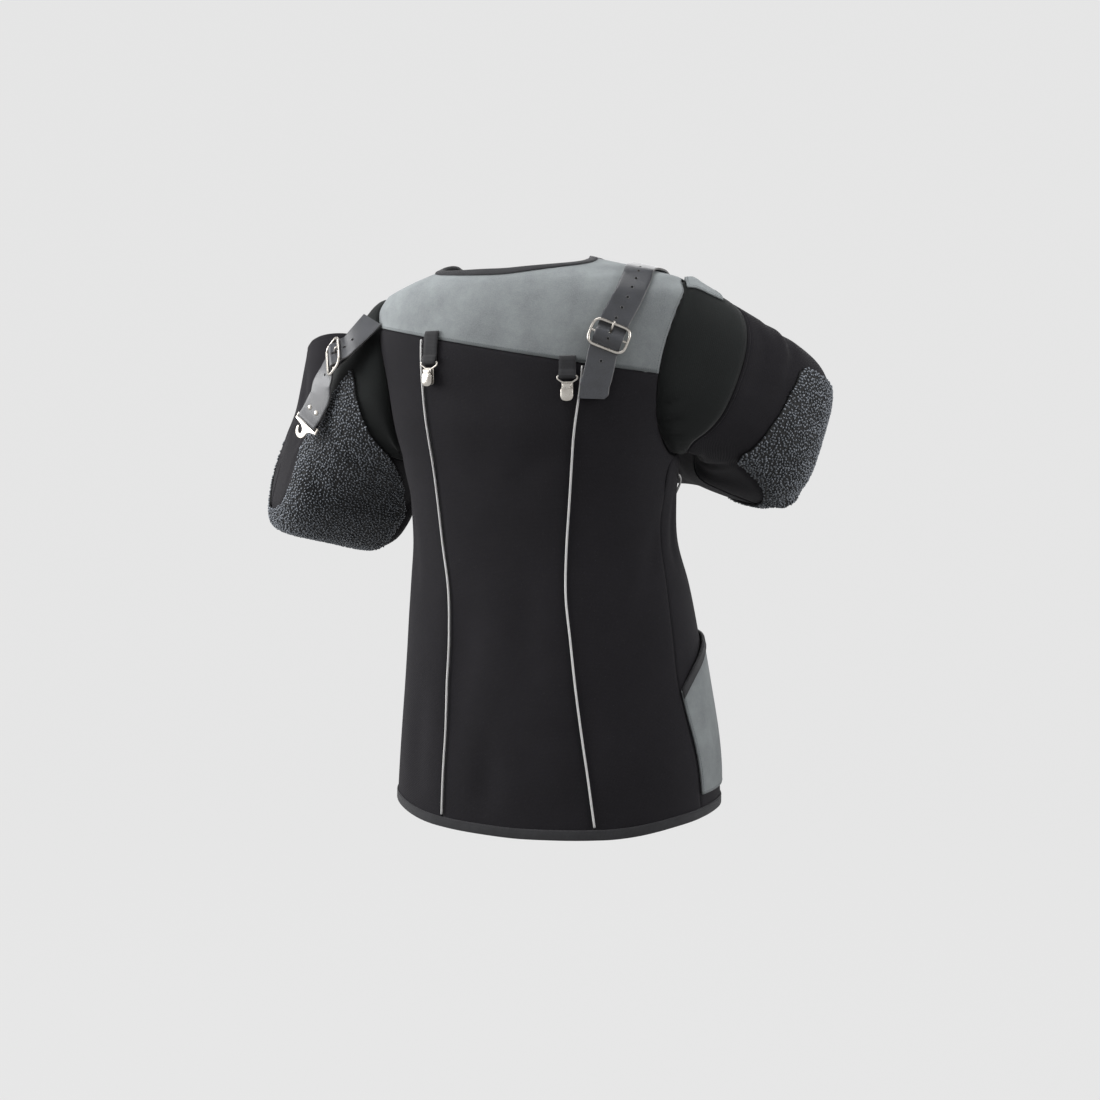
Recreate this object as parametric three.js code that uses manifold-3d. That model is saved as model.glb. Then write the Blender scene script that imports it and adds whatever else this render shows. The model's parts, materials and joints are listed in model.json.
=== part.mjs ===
// A rifle shooter's jacket, as worn: stiff canvas panels, a suede yoke, bent sleeves with rubber elbow pads,
// a shoulder strap, a sling strap with its hook, and two hanging clips.
// Millimetres, +Z up. The front faces -Y and the wearer's left is +X. The origin is midway between the shoulder
// tops, where the jacket hangs on its wearer.
// Angles round the body are in degrees from the middle of the back (0), over the wearer's left side (90),
// to the middle of the front (180). The wearer's right side is negative.
import * as THREE from "three";
import { mergeVertices } from "three/addons/utils/BufferGeometryUtils.js";
import Module from "manifold-3d";

const wasm = await Module();
wasm.setup();

// ---------------------------------------------------------------- driving sizes
const CANVAS = 2.0; // body cloth
const SUEDE = 2.0; // yoke and shoulder patches
const RUBBER = 2.4; // elbow pads
const LEATHER = 3.0; // straps
const SEAM_GAP = 0.3; // between two pieces that are sewn to each other
const LAID_GAP = 0.3; // between a panel and what lies on it
const PAD_GAP = 0.5; // between a sleeve and its elbow pad, which bends over the seam
const BINDING_WIDTH = 11;
const BINDING = 1.1; // thickness of the binding tape
const PIPING_RADIUS = 1.3;

const HEM_Z = -640; // about where the hem hangs
const SIDE = 90; // the angle of both side lines
const SHOULDER_DROP = 7; // how far the left shoulder hangs under the level, and the right one over it

// Body sections from hem to neck. shift is sideways, and square is 2 for an ellipse and more for a squarer ring.
const BODY = [
  { z: -662, width: 204, back: 142, front: 150, shift: -27, square: 2.3 },
  { z: -580, width: 201, back: 136, front: 146, shift: -28, square: 2.3 },
  { z: -480, width: 190, back: 125, front: 138, shift: -23, square: 2.3 },
  { z: -380, width: 178, back: 112, front: 128, shift: -17, square: 2.3 },
  { z: -300, width: 166, back: 106, front: 122, shift: -9, square: 2.3 },
  { z: -220, width: 172, back: 110, front: 120, shift: -4, square: 2.3 },
  { z: -150, width: 186, back: 116, front: 114, shift: 0, square: 2.3 },
  { z: -100, width: 197, back: 116, front: 106, shift: 0, square: 2.3 },
  { z: -60, width: 204, back: 112, front: 98, shift: 0, square: 2.3 },
  { z: -25, width: 205, back: 104, front: 90, shift: 0, square: 2.2 },
  { z: 0, width: 187, back: 94, front: 81, shift: 4, square: 2.1 },
  { z: 12, width: 152, back: 84, front: 75, shift: 8, square: 2.1 },
  { z: 22, width: 118, back: 75, front: 69, shift: 12, square: 2.1 },
  { z: 32, width: 88, back: 66, front: 64, shift: 18, square: 2.1 },
];

// Armholes: the same oval on both sides, measured on the body's surface.
const ARMHOLE = { z: -104, height: 102, behind: 28, before: 42 };

const YOKE = { leftZ: -41, rightZ: -116, leftX: 190, rightX: -190 };

// Half-turns of cloth round the neck: where the neck line lies at each angle from the middle of the back.
const NECK_LINE = [
  { angle: 0, z: 16 },
  { angle: 40, z: 20 },
  { angle: 70, z: 28 },
  { angle: 90, z: 32 },
  { angle: 110, z: 29 },
  { angle: 130, z: 20 },
  { angle: 146, z: 5 },
  { angle: 158, z: -20 },
  { angle: 169, z: -52 },
  { angle: 180, z: -74 },
];

// The hem hangs lower behind than at the sides and in front.
const HEM_LINE = [
  { angle: 0, z: -650 },
  { angle: 30, z: -646 },
  { angle: 65, z: -633 },
  { angle: 90, z: -629 },
  { angle: 180, z: -632 },
];

// The piped back seams: how far each lies from the middle plane at each height.
const PIPED_SEAMS = [
  { z: -662, left: 73, right: -124 },
  { z: -590, left: 72, right: -113 },
  { z: -520, left: 71, right: -100 },
  { z: -460, left: 72, right: -90 },
  { z: -400, left: 72, right: -81 },
  { z: -350, left: 77, right: -75 },
  { z: -310, left: 85, right: -75 },
  { z: -250, left: 92, right: -79 },
  { z: -190, left: 99, right: -84 },
  { z: -120, left: 106, right: -94 },
  { z: -40, left: 109, right: -101 },
];

// The right side seam swings back under the arm, because the jacket is drawn round to the front there.
const RIGHT_SIDE_SEAM = [
  { z: -660, angle: 77 },
  { z: -560, angle: 72 },
  { z: -460, angle: 67 },
  { z: -370, angle: 70 },
  { z: -280, angle: 78 },
  { z: -240, angle: 81 },
  { z: -206, angle: 90 },
];

// Sleeves run from the armhole to the elbow and on to the cuff. Each row of sections is a ring: its share of the
// sleeve's length, its half width across the bend, its reach to the outer and the inner side of the bend, how
// far it is lifted across the bend, and how square it is. twist turns the armhole's points round to those of
// the first free ring. crowd is where the sleeve's head would touch the body, how much more it swells there, and
// by how large a share it is longer.
const SLEEVES = {
  left: {
    side: 1,
    elbow: [342, -126, -271],
    cuff: [366, -226, -66],
    twist: 45,
    crowd: { turn: 190, rise: 9, longer: 0.4 },
    sections: [
      { at: 0.0, across: 84, lift: 0, outer: 80, inner: 80, square: 2.2 },
      { at: 0.3, across: 84, lift: 0, outer: 80, inner: 70, square: 2.4 },
      { at: 0.52, across: 88, lift: 0, outer: 82, inner: 57, square: 7 },
      { at: 0.62, across: 80, lift: 0, outer: 76, inner: 57, square: 4 },
      { at: 0.8, across: 66, lift: 0, outer: 66, inner: 58, square: 2.4 },
      { at: 1.0, across: 62, lift: 0, outer: 58, inner: 58, square: 2.2 },
    ],
  },
  right: {
    side: -1,
    elbow: [-254, -140, -167],
    cuff: [-92, -270, -180],
    twist: 0,
    crowd: { turn: 222, rise: 12, longer: 0.8 },
    sections: [
      { at: 0.0, across: 84, lift: 0, outer: 80, inner: 74, square: 2.2 },
      { at: 0.2, across: 92, lift: 9, outer: 80, inner: 66, square: 2.4 },
      { at: 0.34, across: 91, lift: 9, outer: 80, inner: 62, square: 2.8 },
      { at: 0.52, across: 92, lift: 0, outer: 76, inner: 57, square: 5 },
      { at: 0.62, across: 86, lift: 0, outer: 75, inner: 57, square: 3.6 },
      { at: 0.8, across: 72, lift: 0, outer: 68, inner: 58, square: 2.4 },
      { at: 1.0, across: 66, lift: 0, outer: 58, inner: 58, square: 2.2 },
    ],
  },
};
const ELBOW_BEND = 62; // the sleeve line's radius at the elbow
const ELBOW_CORNER = 0.16; // how much further the elbow's corner stands out
const SLEEVE_HEAD = 92; // the length over which a sleeve goes from the armhole's shape to its own
const HEAD_RISE = { behind: 8, before: 20 }; // how far the sleeve head swells off the armhole
const ARMHOLE_CLEAR = 0.9; // between the body's edge and the sleeve's
const OVER_PANEL = 1; // how far the sleeve's lower edge stands over the panel's

// ---------------------------------------------------------------- small tools
const V = (x, y, z) => new THREE.Vector3(x, y, z);
const mix = (a, b, t) => a + (b - a) * t;
const clamp01 = (t) => Math.min(1, Math.max(0, t));
const ease = (t) => clamp01(t) ** 2 * (3 - 2 * clamp01(t));
const rad = (degrees) => (degrees * Math.PI) / 180;
const span = (from, to, count) => Array.from({ length: count + 1 }, (_, i) => mix(from, to, i / count));

// A smooth curve through a table's column, read at any value of its key column.
function read(table, key, column, at) {
  const n = table.length;
  const x = table.map((row) => row[key]);
  const y = table.map((row) => row[column]);
  if (at <= x[0]) return y[0];
  if (at >= x[n - 1]) return y[n - 1];
  let i = 0;
  while (at > x[i + 1]) i++;
  const slope = (k) => {
    if (k === 0) return (y[1] - y[0]) / (x[1] - x[0]);
    if (k === n - 1) return (y[n - 1] - y[n - 2]) / (x[n - 1] - x[n - 2]);
    const before = (y[k] - y[k - 1]) / (x[k] - x[k - 1]);
    const after = (y[k + 1] - y[k]) / (x[k + 1] - x[k]);
    return before * after <= 0 ? 0 : (2 * before * after) / (before + after);
  };
  const h = x[i + 1] - x[i];
  const t = (at - x[i]) / h;
  return (
    y[i] * (1 + 2 * t) * (1 - t) ** 2 +
    slope(i) * h * t * (1 - t) ** 2 +
    y[i + 1] * t * t * (3 - 2 * t) +
    slope(i + 1) * h * t * t * (t - 1)
  );
}

// ---------------------------------------------------------------- the body's surface
function bodyPoint(angle, z) {
  const width = read(BODY, "z", "width", z);
  const square = read(BODY, "z", "square", z);
  const s = Math.sin(rad(angle));
  const c = Math.cos(rad(angle));
  const depth = read(BODY, "z", c > 0 ? "back" : "front", z);
  const x = width * Math.sign(s) * Math.abs(s) ** (2 / square);
  const y = depth * Math.sign(c) * Math.abs(c) ** (2 / square);
  const lift = -SHOULDER_DROP * (x / 200) * ease((z + 270) / 240);
  return V(x + read(BODY, "z", "shift", z), y, z + lift);
}

function bodyNormal(angle, z) {
  const round = bodyPoint(angle + 0.4, z).sub(bodyPoint(angle - 0.4, z));
  const up = bodyPoint(angle, z + 1).sub(bodyPoint(angle, z - 1));
  return up.cross(round).normalize();
}

const body = (angle, z, out = 0) => bodyPoint(angle, z).addScaledVector(bodyNormal(angle, z), out);

// The angle on the back at which the ring of height z is x from its own middle.
function angleOf(x, z) {
  const share = clamp01(Math.abs(x) / read(BODY, "z", "width", z));
  const square = read(BODY, "z", "square", z);
  return (Math.sign(x) * (Math.asin(share ** (square / 2)) * 180)) / Math.PI;
}

// How many degrees round the ring make a length of cloth there.
const degrees = (length, angle, z) =>
  length / (bodyPoint(angle + 0.5, z).distanceTo(bodyPoint(angle - 0.5, z)) + 1e-6);

// Steps along the body's surface, down from a height by a length.
function below(angle, z, length) {
  let at = z;
  for (let k = 0; k < 8; k++) {
    const per = bodyPoint(angle, at).distanceTo(bodyPoint(angle, at - Math.sign(length))) + 1e-6;
    at -= length / 8 / per;
  }
  return at;
}

// Where a side's back and front panels end, as angles: the armhole's edge, and the side seam under it.
// way is 1 behind the arm and -1 before it.
function armholeAngle(z, way, side) {
  const t = (z - ARMHOLE.z) / ARMHOLE.height;
  const open = Math.abs(t) < 1 ? Math.sqrt(1 - t * t) : 0;
  const seam = side > 0 ? SIDE : read(RIGHT_SIDE_SEAM, "z", "angle", z);
  return way > 0 ? seam - ARMHOLE.behind * open : seam + ARMHOLE.before * open;
}

const yokeZ = (angle, z) => {
  const x = bodyPoint(angle, z).x;
  const t = clamp01((x - YOKE.leftX) / (YOKE.rightX - YOKE.leftX));
  return mix(YOKE.leftZ, YOKE.rightZ, t) - 3 * Math.sin(Math.PI * t);
};

const neckZ = (angle) => read(NECK_LINE, "angle", "z", Math.abs(angle));

// ---------------------------------------------------------------- closed solids from grids of points
function solid(points, faces) {
  const g = new THREE.BufferGeometry();
  g.setAttribute("position", new THREE.Float32BufferAttribute(points.flatMap((p) => [p.x, p.y, p.z]), 3));
  g.setIndex(faces.flat());
  let volume = 0;
  for (const [a, b, c] of faces) volume += points[a].dot(points[b].clone().cross(points[c]));
  if (volume < 0) g.setIndex(faces.flatMap(([a, b, c]) => [a, c, b]));
  return g;
}

// A wall of cloth. outer and inner are grids of rows; a closed wall joins each row's end to its start.
function wall(outer, inner, closed = false) {
  const rows = outer.length;
  const columns = outer[0].length;
  const points = [...outer.flat(), ...inner.flat()];
  const id = (side, i, j) => side * rows * columns + i * columns + (j % columns);
  const faces = [];
  const quad = (a, b, c, d) => faces.push([a, b, c], [a, c, d]);
  const last = closed ? columns : columns - 1;
  for (let i = 0; i < rows - 1; i++)
    for (let j = 0; j < last; j++) {
      // Both faces are split along the outer face's shorter diagonal.
      const k = (j + 1) % columns;
      const other = outer[i][j].distanceTo(outer[i + 1][k]) > outer[i][k].distanceTo(outer[i + 1][j]);
      const around = [[i, j], [i, k], [i + 1, k], [i + 1, j]];
      if (other) around.push(around.shift());
      quad(...around.map(([a, b]) => id(0, a, b)));
      const [a, b, c, d] = around.map(([r, q]) => id(1, r, q));
      faces.push([a, c, b], [a, d, c]);
    }
  for (let j = 0; j < last; j++) {
    quad(id(0, 0, j), id(1, 0, j), id(1, 0, j + 1), id(0, 0, j + 1));
    quad(id(0, rows - 1, j), id(0, rows - 1, j + 1), id(1, rows - 1, j + 1), id(1, rows - 1, j));
  }
  if (!closed)
    for (let i = 0; i < rows - 1; i++) {
      quad(id(0, i, 0), id(0, i + 1, 0), id(1, i + 1, 0), id(1, i, 0));
      const e = columns - 1;
      quad(id(0, i, e), id(1, i, e), id(1, i + 1, e), id(0, i + 1, e));
    }
  return solid(points, faces);
}

// A bar of any section swept along stations. Each station gives the same number of corner points, in order.
function sweep(stations, closed = false) {
  const n = stations[0].length;
  const points = stations.flat();
  const faces = [];
  const last = closed ? stations.length : stations.length - 1;
  for (let i = 0; i < last; i++)
    for (let j = 0; j < n; j++) {
      const k = (i + 1) % stations.length;
      const [a, b, c, d] = [i * n + j, i * n + ((j + 1) % n), k * n + ((j + 1) % n), k * n + j];
      faces.push([a, b, c], [a, c, d]);
    }
  if (!closed)
    for (let j = 1; j < n - 1; j++) {
      const e = (stations.length - 1) * n;
      faces.push([0, j + 1, j], [e, e + j, e + j + 1]);
    }
  return solid(points, faces);
}

// A round wire along points, whose section is turned as little as possible from one station to the next.
function wire(path, radius, sides = 8, closed = false) {
  const n = path.length;
  const tangent = (i) => {
    const a = closed ? path[(i + n - 1) % n] : path[Math.max(0, i - 1)];
    const b = closed ? path[(i + 1) % n] : path[Math.min(n - 1, i + 1)];
    return b.clone().sub(a).normalize();
  };
  let side = new THREE.Vector3();
  for (const axis of [V(0, 0, 1), V(0, 1, 0), V(1, 0, 0)])
    if (side.length() < 0.5) side = axis.clone().cross(tangent(0));
  side.normalize();
  const stations = path.map((p, i) => {
    const t = tangent(i);
    side.addScaledVector(t, -side.dot(t)).normalize();
    const up = t.clone().cross(side);
    return Array.from({ length: sides }, (_, k) => {
      const a = (2 * Math.PI * k) / sides;
      return p.clone().addScaledVector(side, radius * Math.cos(a)).addScaledVector(up, radius * Math.sin(a));
    });
  });
  return sweep(stations, closed);
}

// ---------------------------------------------------------------- manifold-3d, for joins and holes
function toManifold(geometry) {
  const bare = geometry.clone();
  for (const name of Object.keys(bare.attributes)) if (name !== "position") bare.deleteAttribute(name);
  const merged = mergeVertices(bare, 1e-4);
  return new wasm.Manifold(
    new wasm.Mesh({
      numProp: 3,
      vertProperties: merged.attributes.position.array,
      triVerts: new Uint32Array(merged.index.array),
    }),
  );
}

function fromManifold(made) {
  const m = made.getMesh();
  return new THREE.BufferGeometry()
    .setAttribute("position", new THREE.BufferAttribute(new Float32Array(m.vertProperties), 3))
    .setIndex(new THREE.BufferAttribute(new Uint32Array(m.triVerts), 1));
}

const join = (...parts) => fromManifold(parts.map(toManifold).reduce((a, b) => a.add(b)));
const cut = (whole, ...tools) => fromManifold(tools.map(toManifold).reduce((a, b) => a.subtract(b), toManifold(whole)));

// ---------------------------------------------------------------- materials and nodes
const finish = (color, roughness, metalness = 0) => new THREE.MeshStandardMaterial({ color, roughness, metalness });
const CLOTH = finish("#27242a", 0.9);
const SOFT_CLOTH = finish("#222223", 0.85);
const GREY_SUEDE = finish("#8a9292", 0.95);
const TAPE = finish("#3c3b3d", 0.85);
const WHITE_CORD = finish("#dcdada", 0.6);
const PAD = finish("#34363a", 0.7);
const STRAP = finish("#55565c", 0.45);
const STEEL = finish("#c9c5be", 0.25, 1);
const BUTTON = finish("#1d1d1f", 0.35);

const jacket = new THREE.Group();
function add(name, geometry, material, group = jacket) {
  const mesh = new THREE.Mesh(geometry, material);
  mesh.name = name;
  group.add(mesh);
  return mesh;
}

// ---------------------------------------------------------------- body panels
// A panel is a grid on the body between two side lines and two cross lines. left and right give an angle at a
// height. levels are the cross lines from the bottom up, each a height at an angle, and rows counts the rows
// between each two of them. Two panels that share a seam share its levels and rows, so that their edges follow
// each other. Each edge is drawn in by half a seam's gap.
function bodyGrid({ left, right, levels, rows, columns, inset = SEAM_GAP / 2 }) {
  const steps = rows.flatMap((count, part) => Array.from({ length: count }, (_, i) => [part, i / count]));
  steps.push([rows.length - 1, 1]);
  const height = (step, angle, z) => {
    const [part, share] = step;
    const low = levels[part](angle, z) + (part === 0 ? inset : 0);
    const high = levels[part + 1](angle, z) - (part === rows.length - 1 ? inset : 0);
    return armhole(low, high, share);
  };
  return steps.map((step) =>
    Array.from({ length: columns + 1 }, (_, j) => {
      let angle = 0;
      let z = HEM_Z;
      for (let k = 0; k < 12; k++) {
        const a = left(z);
        const b = right(z);
        const draw = degrees(inset, (a + b) / 2, z) * Math.sign(b - a);
        angle = mix(a + draw, b - draw, j / columns);
        z = height(step, angle, z);
      }
      return [angle, z];
    }),
  );
}

// Between two heights beside the armhole, rows are stepped evenly round its oval, and elsewhere evenly in height.
function armhole(low, high, share) {
  const turn = (z) => Math.acos(Math.min(1, Math.max(-1, (z - ARMHOLE.z) / ARMHOLE.height)));
  const round = ARMHOLE.z + ARMHOLE.height * Math.cos(mix(turn(low), turn(high), share));
  const inside = low > ARMHOLE.z - ARMHOLE.height - 1 && high < ARMHOLE.z + ARMHOLE.height + 1;
  return inside ? clampBetween(round, low, high, share) : mix(low, high, share);
}
const clampBetween = (z, low, high, share) => (share <= 0 ? low : share >= 1 ? high : z);

const laid = (grid, surface, out) => grid.map((line) => line.map(([a, b]) => surface(a, b, out)));
const bodyWall = (grid, thickness, out = 0) => wall(laid(grid, body, out), laid(grid, body, out - thickness));

const seamAngle = (column) => (z) => angleOf(read(PIPED_SEAMS, "z", column, z) - read(BODY, "z", "shift", z), z);
const leftSeam = seamAngle("left");
const rightSeam = seamAngle("right");
const hemZ = (angle) => read(HEM_LINE, "angle", "z", Math.abs(angle));

const underArm = () => ARMHOLE.z - ARMHOLE.height;
const overArm = () => ARMHOLE.z + ARMHOLE.height;
const armBack = (side) => (z) => side * armholeAngle(z, 1, side);
const armFront = (side) => (z) => side * armholeAngle(z, -1, side);
const NECK_TAPE = 9.5;
const overHem = (angle) => below(angle, hemZ(angle), -BINDING_WIDTH);
const underNeck = (angle) => below(angle, neckZ(angle), NECK_TAPE);
const patchLow = () => ARMHOLE.z; // the lower edge of the front shoulder patches
const patchKnee = (angle) => {
  const share = (overArm() - patchLow()) / (underNeck(SIDE) - patchLow());
  return mix(patchLow(), underNeck(angle), share);
};
const BACK = { levels: [hemZ, overHem, underArm, yokeZ], rows: [1, 8, 8] };
const FRONT = { levels: [hemZ, overHem, underArm, patchLow], rows: [1, 8, 6] };
const YOKE_ROWS = { levels: [yokeZ, overArm, underNeck, neckZ], rows: [6, 2, 1] };
const PATCH_ROWS = { levels: [patchLow, patchKnee, underNeck, neckZ], rows: [6, 2, 1] };

const PANELS = {
  back_centre: bodyGrid({ left: leftSeam, right: rightSeam, columns: 6, ...BACK }),
  back_side_left: bodyGrid({ left: armBack(1), right: leftSeam, columns: 6, ...BACK }),
  back_side_right: bodyGrid({ left: rightSeam, right: armBack(-1), columns: 6, ...BACK }),
  yoke: bodyGrid({ left: armBack(1), right: armBack(-1), columns: 18, ...YOKE_ROWS }),
};
for (const [word, s] of [["left", 1], ["right", -1]]) {
  const sides = { left: armFront(s), right: () => s * 180, columns: 8 };
  PANELS["front_" + word] = bodyGrid({ ...sides, ...FRONT });
  PANELS["shoulder_patch_" + word] = bodyGrid({ ...sides, ...PATCH_ROWS });
}
const SUEDE_PANELS = ["yoke", "shoulder_patch_left", "shoulder_patch_right"];
for (const [name, grid] of Object.entries(PANELS))
  add(name, bodyWall(grid, CANVAS), SUEDE_PANELS.includes(name) ? GREY_SUEDE : CLOTH);

// ---------------------------------------------------------------- sleeves
// The sleeve's line runs straight to the elbow and on to the cuff, with a bend of one radius between.
function sleeve(spec) {
  const middle = bodyPoint(spec.side * SIDE, ARMHOLE.z).multiply(V(0.93, 1, 1));
  const elbow = V(...spec.elbow);
  const cuff = V(...spec.cuff);
  const u = elbow.clone().sub(middle).normalize();
  const f = cuff.clone().sub(elbow).normalize();
  const turned = u.angleTo(f);
  const axis = u.clone().cross(f).normalize();
  const across = spec.side > 0 ? axis.clone().multiplyScalar(Math.sign(axis.x)) : axis.clone().multiplyScalar(Math.sign(axis.z));
  const cornerCut = ELBOW_BEND * Math.tan(turned / 2);
  const first = elbow.distanceTo(middle) - cornerCut;
  const arc = turned * ELBOW_BEND;
  const length = first + arc + cuff.distanceTo(elbow) - cornerCut;
  const line = (t) => {
    const s = t * length;
    const start = middle.clone().addScaledVector(u, Math.min(s, first));
    if (s <= first) return [start, u.clone()];
    const inward = axis.clone().cross(u);
    const angle = Math.min(s - first, arc) / ELBOW_BEND;
    const direction = u.clone().applyAxisAngle(axis, angle);
    const spot = start.addScaledVector(inward, ELBOW_BEND);
    spot.addScaledVector(inward.clone().applyAxisAngle(axis, angle), -ELBOW_BEND);
    return [spot.addScaledVector(direction, Math.max(0, s - first - arc)), direction];
  };
  const ring = (turn, t) => {
    const [centre, direction] = line(t);
    const outside = direction.clone().cross(axis);
    const c = Math.cos(rad(turn));
    const s = Math.sin(rad(turn));
    const power = 2 / read(spec.sections, "at", "square", t);
    const corner = ELBOW_CORNER * Math.exp(-(((t * length - first - arc / 2) / 55) ** 2)) * Math.max(0, s) ** 2;
    const reach = read(spec.sections, "at", s > 0 ? "outer" : "inner", t) * (1 + corner);
    return centre
      .addScaledVector(across, read(spec.sections, "at", "across", t) * Math.sign(c) * Math.abs(c) ** power)
      .addScaledVector(across, read(spec.sections, "at", "lift", t))
      .addScaledVector(outside, reach * Math.sign(s) * Math.abs(s) ** power);
  };
  const edge = (turn) => {
    const s = Math.sin(rad(turn));
    const z = ARMHOLE.z + (ARMHOLE.height - ARMHOLE_CLEAR) * Math.cos(rad(turn));
    const room = degrees(ARMHOLE_CLEAR, SIDE, ARMHOLE.z);
    const reach = s > 0 ? room - ARMHOLE.behind : ARMHOLE.before - room;
    const angle = spec.side * (SIDE + reach * Math.abs(s));
    const crowd = spec.crowd.rise * Math.max(0, Math.cos(rad(turn - spec.crowd.turn))) ** 2;
    const rise = mix(HEAD_RISE.before, HEAD_RISE.behind, ease(0.5 + 0.5 * s));
    const over = OVER_PANEL * Math.max(0, -Math.cos(rad(turn)));
    return [body(angle, z, over), bodyNormal(angle, z), rise, crowd];
  };
  const point = (turn, t) => {
    const tight = Math.max(0, Math.cos(rad(turn + spec.twist - spec.crowd.turn)));
    const share = clamp01((t * length) / (SLEEVE_HEAD * (1 + spec.crowd.longer * tight)));
    const [start, out, rise, crowd] = edge(turn + spec.twist);
    start.addScaledVector(out, rise * 4 * share * (1 - share) + crowd * 6.75 * share ** 2 * (1 - share));
    return start.lerp(ring(turn, t), ease(share));
  };
  const normal = (turn, t) => {
    const e = 0.01;
    const along = point(turn, Math.min(1, t + e)).sub(point(turn, Math.max(0, t - e)));
    const round = point(turn + 2, t).sub(point(turn - 2, t));
    return along.cross(round).normalize().multiplyScalar(facing);
  };
  let facing = 1;
  const [centre] = line(0.5);
  facing = Math.sign(normal(90, 0.5).dot(point(90, 0.5).sub(centre)));
  return { length, surface: (turn, t, out = 0) => point(turn, t).addScaledVector(normal(turn, t), out) };
}

const ARMS = { left: sleeve(SLEEVES.left), right: sleeve(SLEEVES.right) };
const AROUND = 24;
const ELBOW_SEAM = 0.53;
const capSeam = (turn) => 0.148 + 0.024 * Math.cos(rad(turn - 68));

// Pads: at each share of the sleeve's length, the turns between which the pad lies.
const PADS = {
  left: [
    { at: 0.1, from: 18, to: 28 },
    { at: 0.125, from: 17, to: 60 },
    { at: 0.15, from: 16, to: 92 },
    { at: 0.22, from: 14, to: 110 },
    { at: 0.32, from: 11, to: 124 },
    { at: 0.38, from: 17, to: 128 },
    { at: 0.44, from: 24, to: 117 },
    { at: 0.5, from: 28, to: 103 },
    { at: 0.56, from: 26, to: 100 },
    { at: 0.64, from: 26, to: 104 },
    { at: 0.74, from: 36, to: 102 },
    { at: 0.82, from: 56, to: 92 },
  ],
  right: [
    { at: 0.272, from: 112, to: 146 },
    { at: 0.286, from: 97, to: 154 },
    { at: 0.305, from: 82, to: 158 },
    { at: 0.33, from: 67, to: 162 },
    { at: 0.38, from: 66, to: 164 },
    { at: 0.44, from: 66, to: 164 },
    { at: 0.54, from: 60, to: 164 },
    { at: 0.64, from: 58, to: 158 },
    { at: 0.74, from: 72, to: 144 },
    { at: 0.82, from: 90, to: 122 },
  ],
};

const tubeGrid = (from, to, rows) =>
  Array.from({ length: rows + 1 }, (_, i) =>
    Array.from({ length: AROUND }, (_, j) => {
      const turn = (360 * j) / AROUND;
      return [turn, mix(from(turn), to(turn), i / rows)];
    }),
  );

// A skin over a sleeve is cut from a layer that follows the sleeve's own points. whole is the rows that the layer
// is laid on, and outline is a grid of turns and shares of the length that the skin covers.
function skin(arm, whole, outline, thickness) {
  const layer = wall(laid(whole, arm.surface, PAD_GAP + thickness), laid(whole, arm.surface, PAD_GAP), true);
  const stamp = wall(laid(outline, arm.surface, 12), laid(outline, arm.surface, -7));
  return fromManifold(toManifold(layer).intersect(toManifold(stamp)));
}

for (const [word, arm] of Object.entries(ARMS)) {
  const gap = SEAM_GAP / arm.length;
  const tubes = {
    cap: tubeGrid(() => 0, capSeam, 3),
    upper: tubeGrid((turn) => capSeam(turn) + gap, () => ELBOW_SEAM, 6),
    fore: tubeGrid(() => ELBOW_SEAM + gap, () => 1, 6),
  };
  for (const [piece, grid] of Object.entries(tubes)) {
    const geometry = wall(laid(grid, arm.surface, 0), laid(grid, arm.surface, -CANVAS), true);
    add("sleeve_" + word + "_" + piece, geometry, piece === "cap" ? SOFT_CLOTH : CLOTH);
  }
  const rows = PADS[word];
  const outline = span(rows[0].at, rows[rows.length - 1].at, 24).map((at) => {
    const [from, to] = [read(rows, "at", "from", at), read(rows, "at", "to", at)];
    return Array.from({ length: 13 }, (_, j) => [mix(from, to, j / 12), at]);
  });
  const whole = [...tubes.cap.slice(1, 3), ...tubes.upper, ...tubes.fore.slice(1, 6)];
  add("elbow_pad_" + word, skin(arm, whole, outline, RUBBER), PAD);
  if (word === "right") arm.cap = tubes.cap;
}

// The right shoulder patch runs out over the sleeve's head. At each turn, how far along the sleeve it reaches.
const OVERLAP_START = 0.022;
const OVERLAP_REACH = [
  { turn: -84, to: 0.05 },
  { turn: -60, to: 0.098 },
  { turn: -30, to: 0.124 },
  { turn: 0, to: 0.132 },
  { turn: 18, to: 0.134 },
  { turn: 29, to: 0.13 },
];
const overlapGrid = span(OVERLAP_REACH[0].turn, OVERLAP_REACH.at(-1).turn, 12).map((turn) =>
  span(OVERLAP_START, read(OVERLAP_REACH, "turn", "to", turn), 5).map((at) => [turn, at]),
);
add("shoulder_overlap_right", skin(ARMS.right, ARMS.right.cap, overlapGrid, SUEDE), GREY_SUEDE);

// ---------------------------------------------------------------- bindings and pipings
const BIND_OUT = LAID_GAP + BINDING;

// A tape folded over an edge, made on the panels' two rows there. way is -1 where the cloth lies under the edge
// and 1 where it lies over it.
function foldedTape(names, way) {
  const [edge, inner] = way < 0 ? [-1, -2] : [0, 1];
  const spots = names.flatMap((name) => PANELS[name].at(edge).map((spot, j) => [spot, PANELS[name].at(inner)[j]]));
  const ordered = spots.sort(([a], [b]) => a[0] - b[0]).filter(([a], i, all) => i === 0 || a[0] - all[i - 1][0][0] > 0.8);
  const rows = [
    { share: 1, out: 0, nap: 1 },
    { share: 0, out: 0, nap: 1 },
    { share: -0.08, out: -CANVAS / 2, nap: 0 },
    { share: 0, out: -CANVAS, nap: -1 },
    { share: 1, out: -CANVAS, nap: -1 },
  ];
  const grid = (push) =>
    rows.map(({ share, out, nap }) =>
      ordered.map(([a, b]) => {
        const deep = bodyPoint(...a).distanceTo(bodyPoint(...b));
        const s = nap === 0 ? share - push / deep : share;
        return body(mix(a[0], b[0], s), mix(a[1], b[1], s), out + nap * push);
      }),
    );
  return wall(grid(BIND_OUT), grid(LAID_GAP));
}

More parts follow.
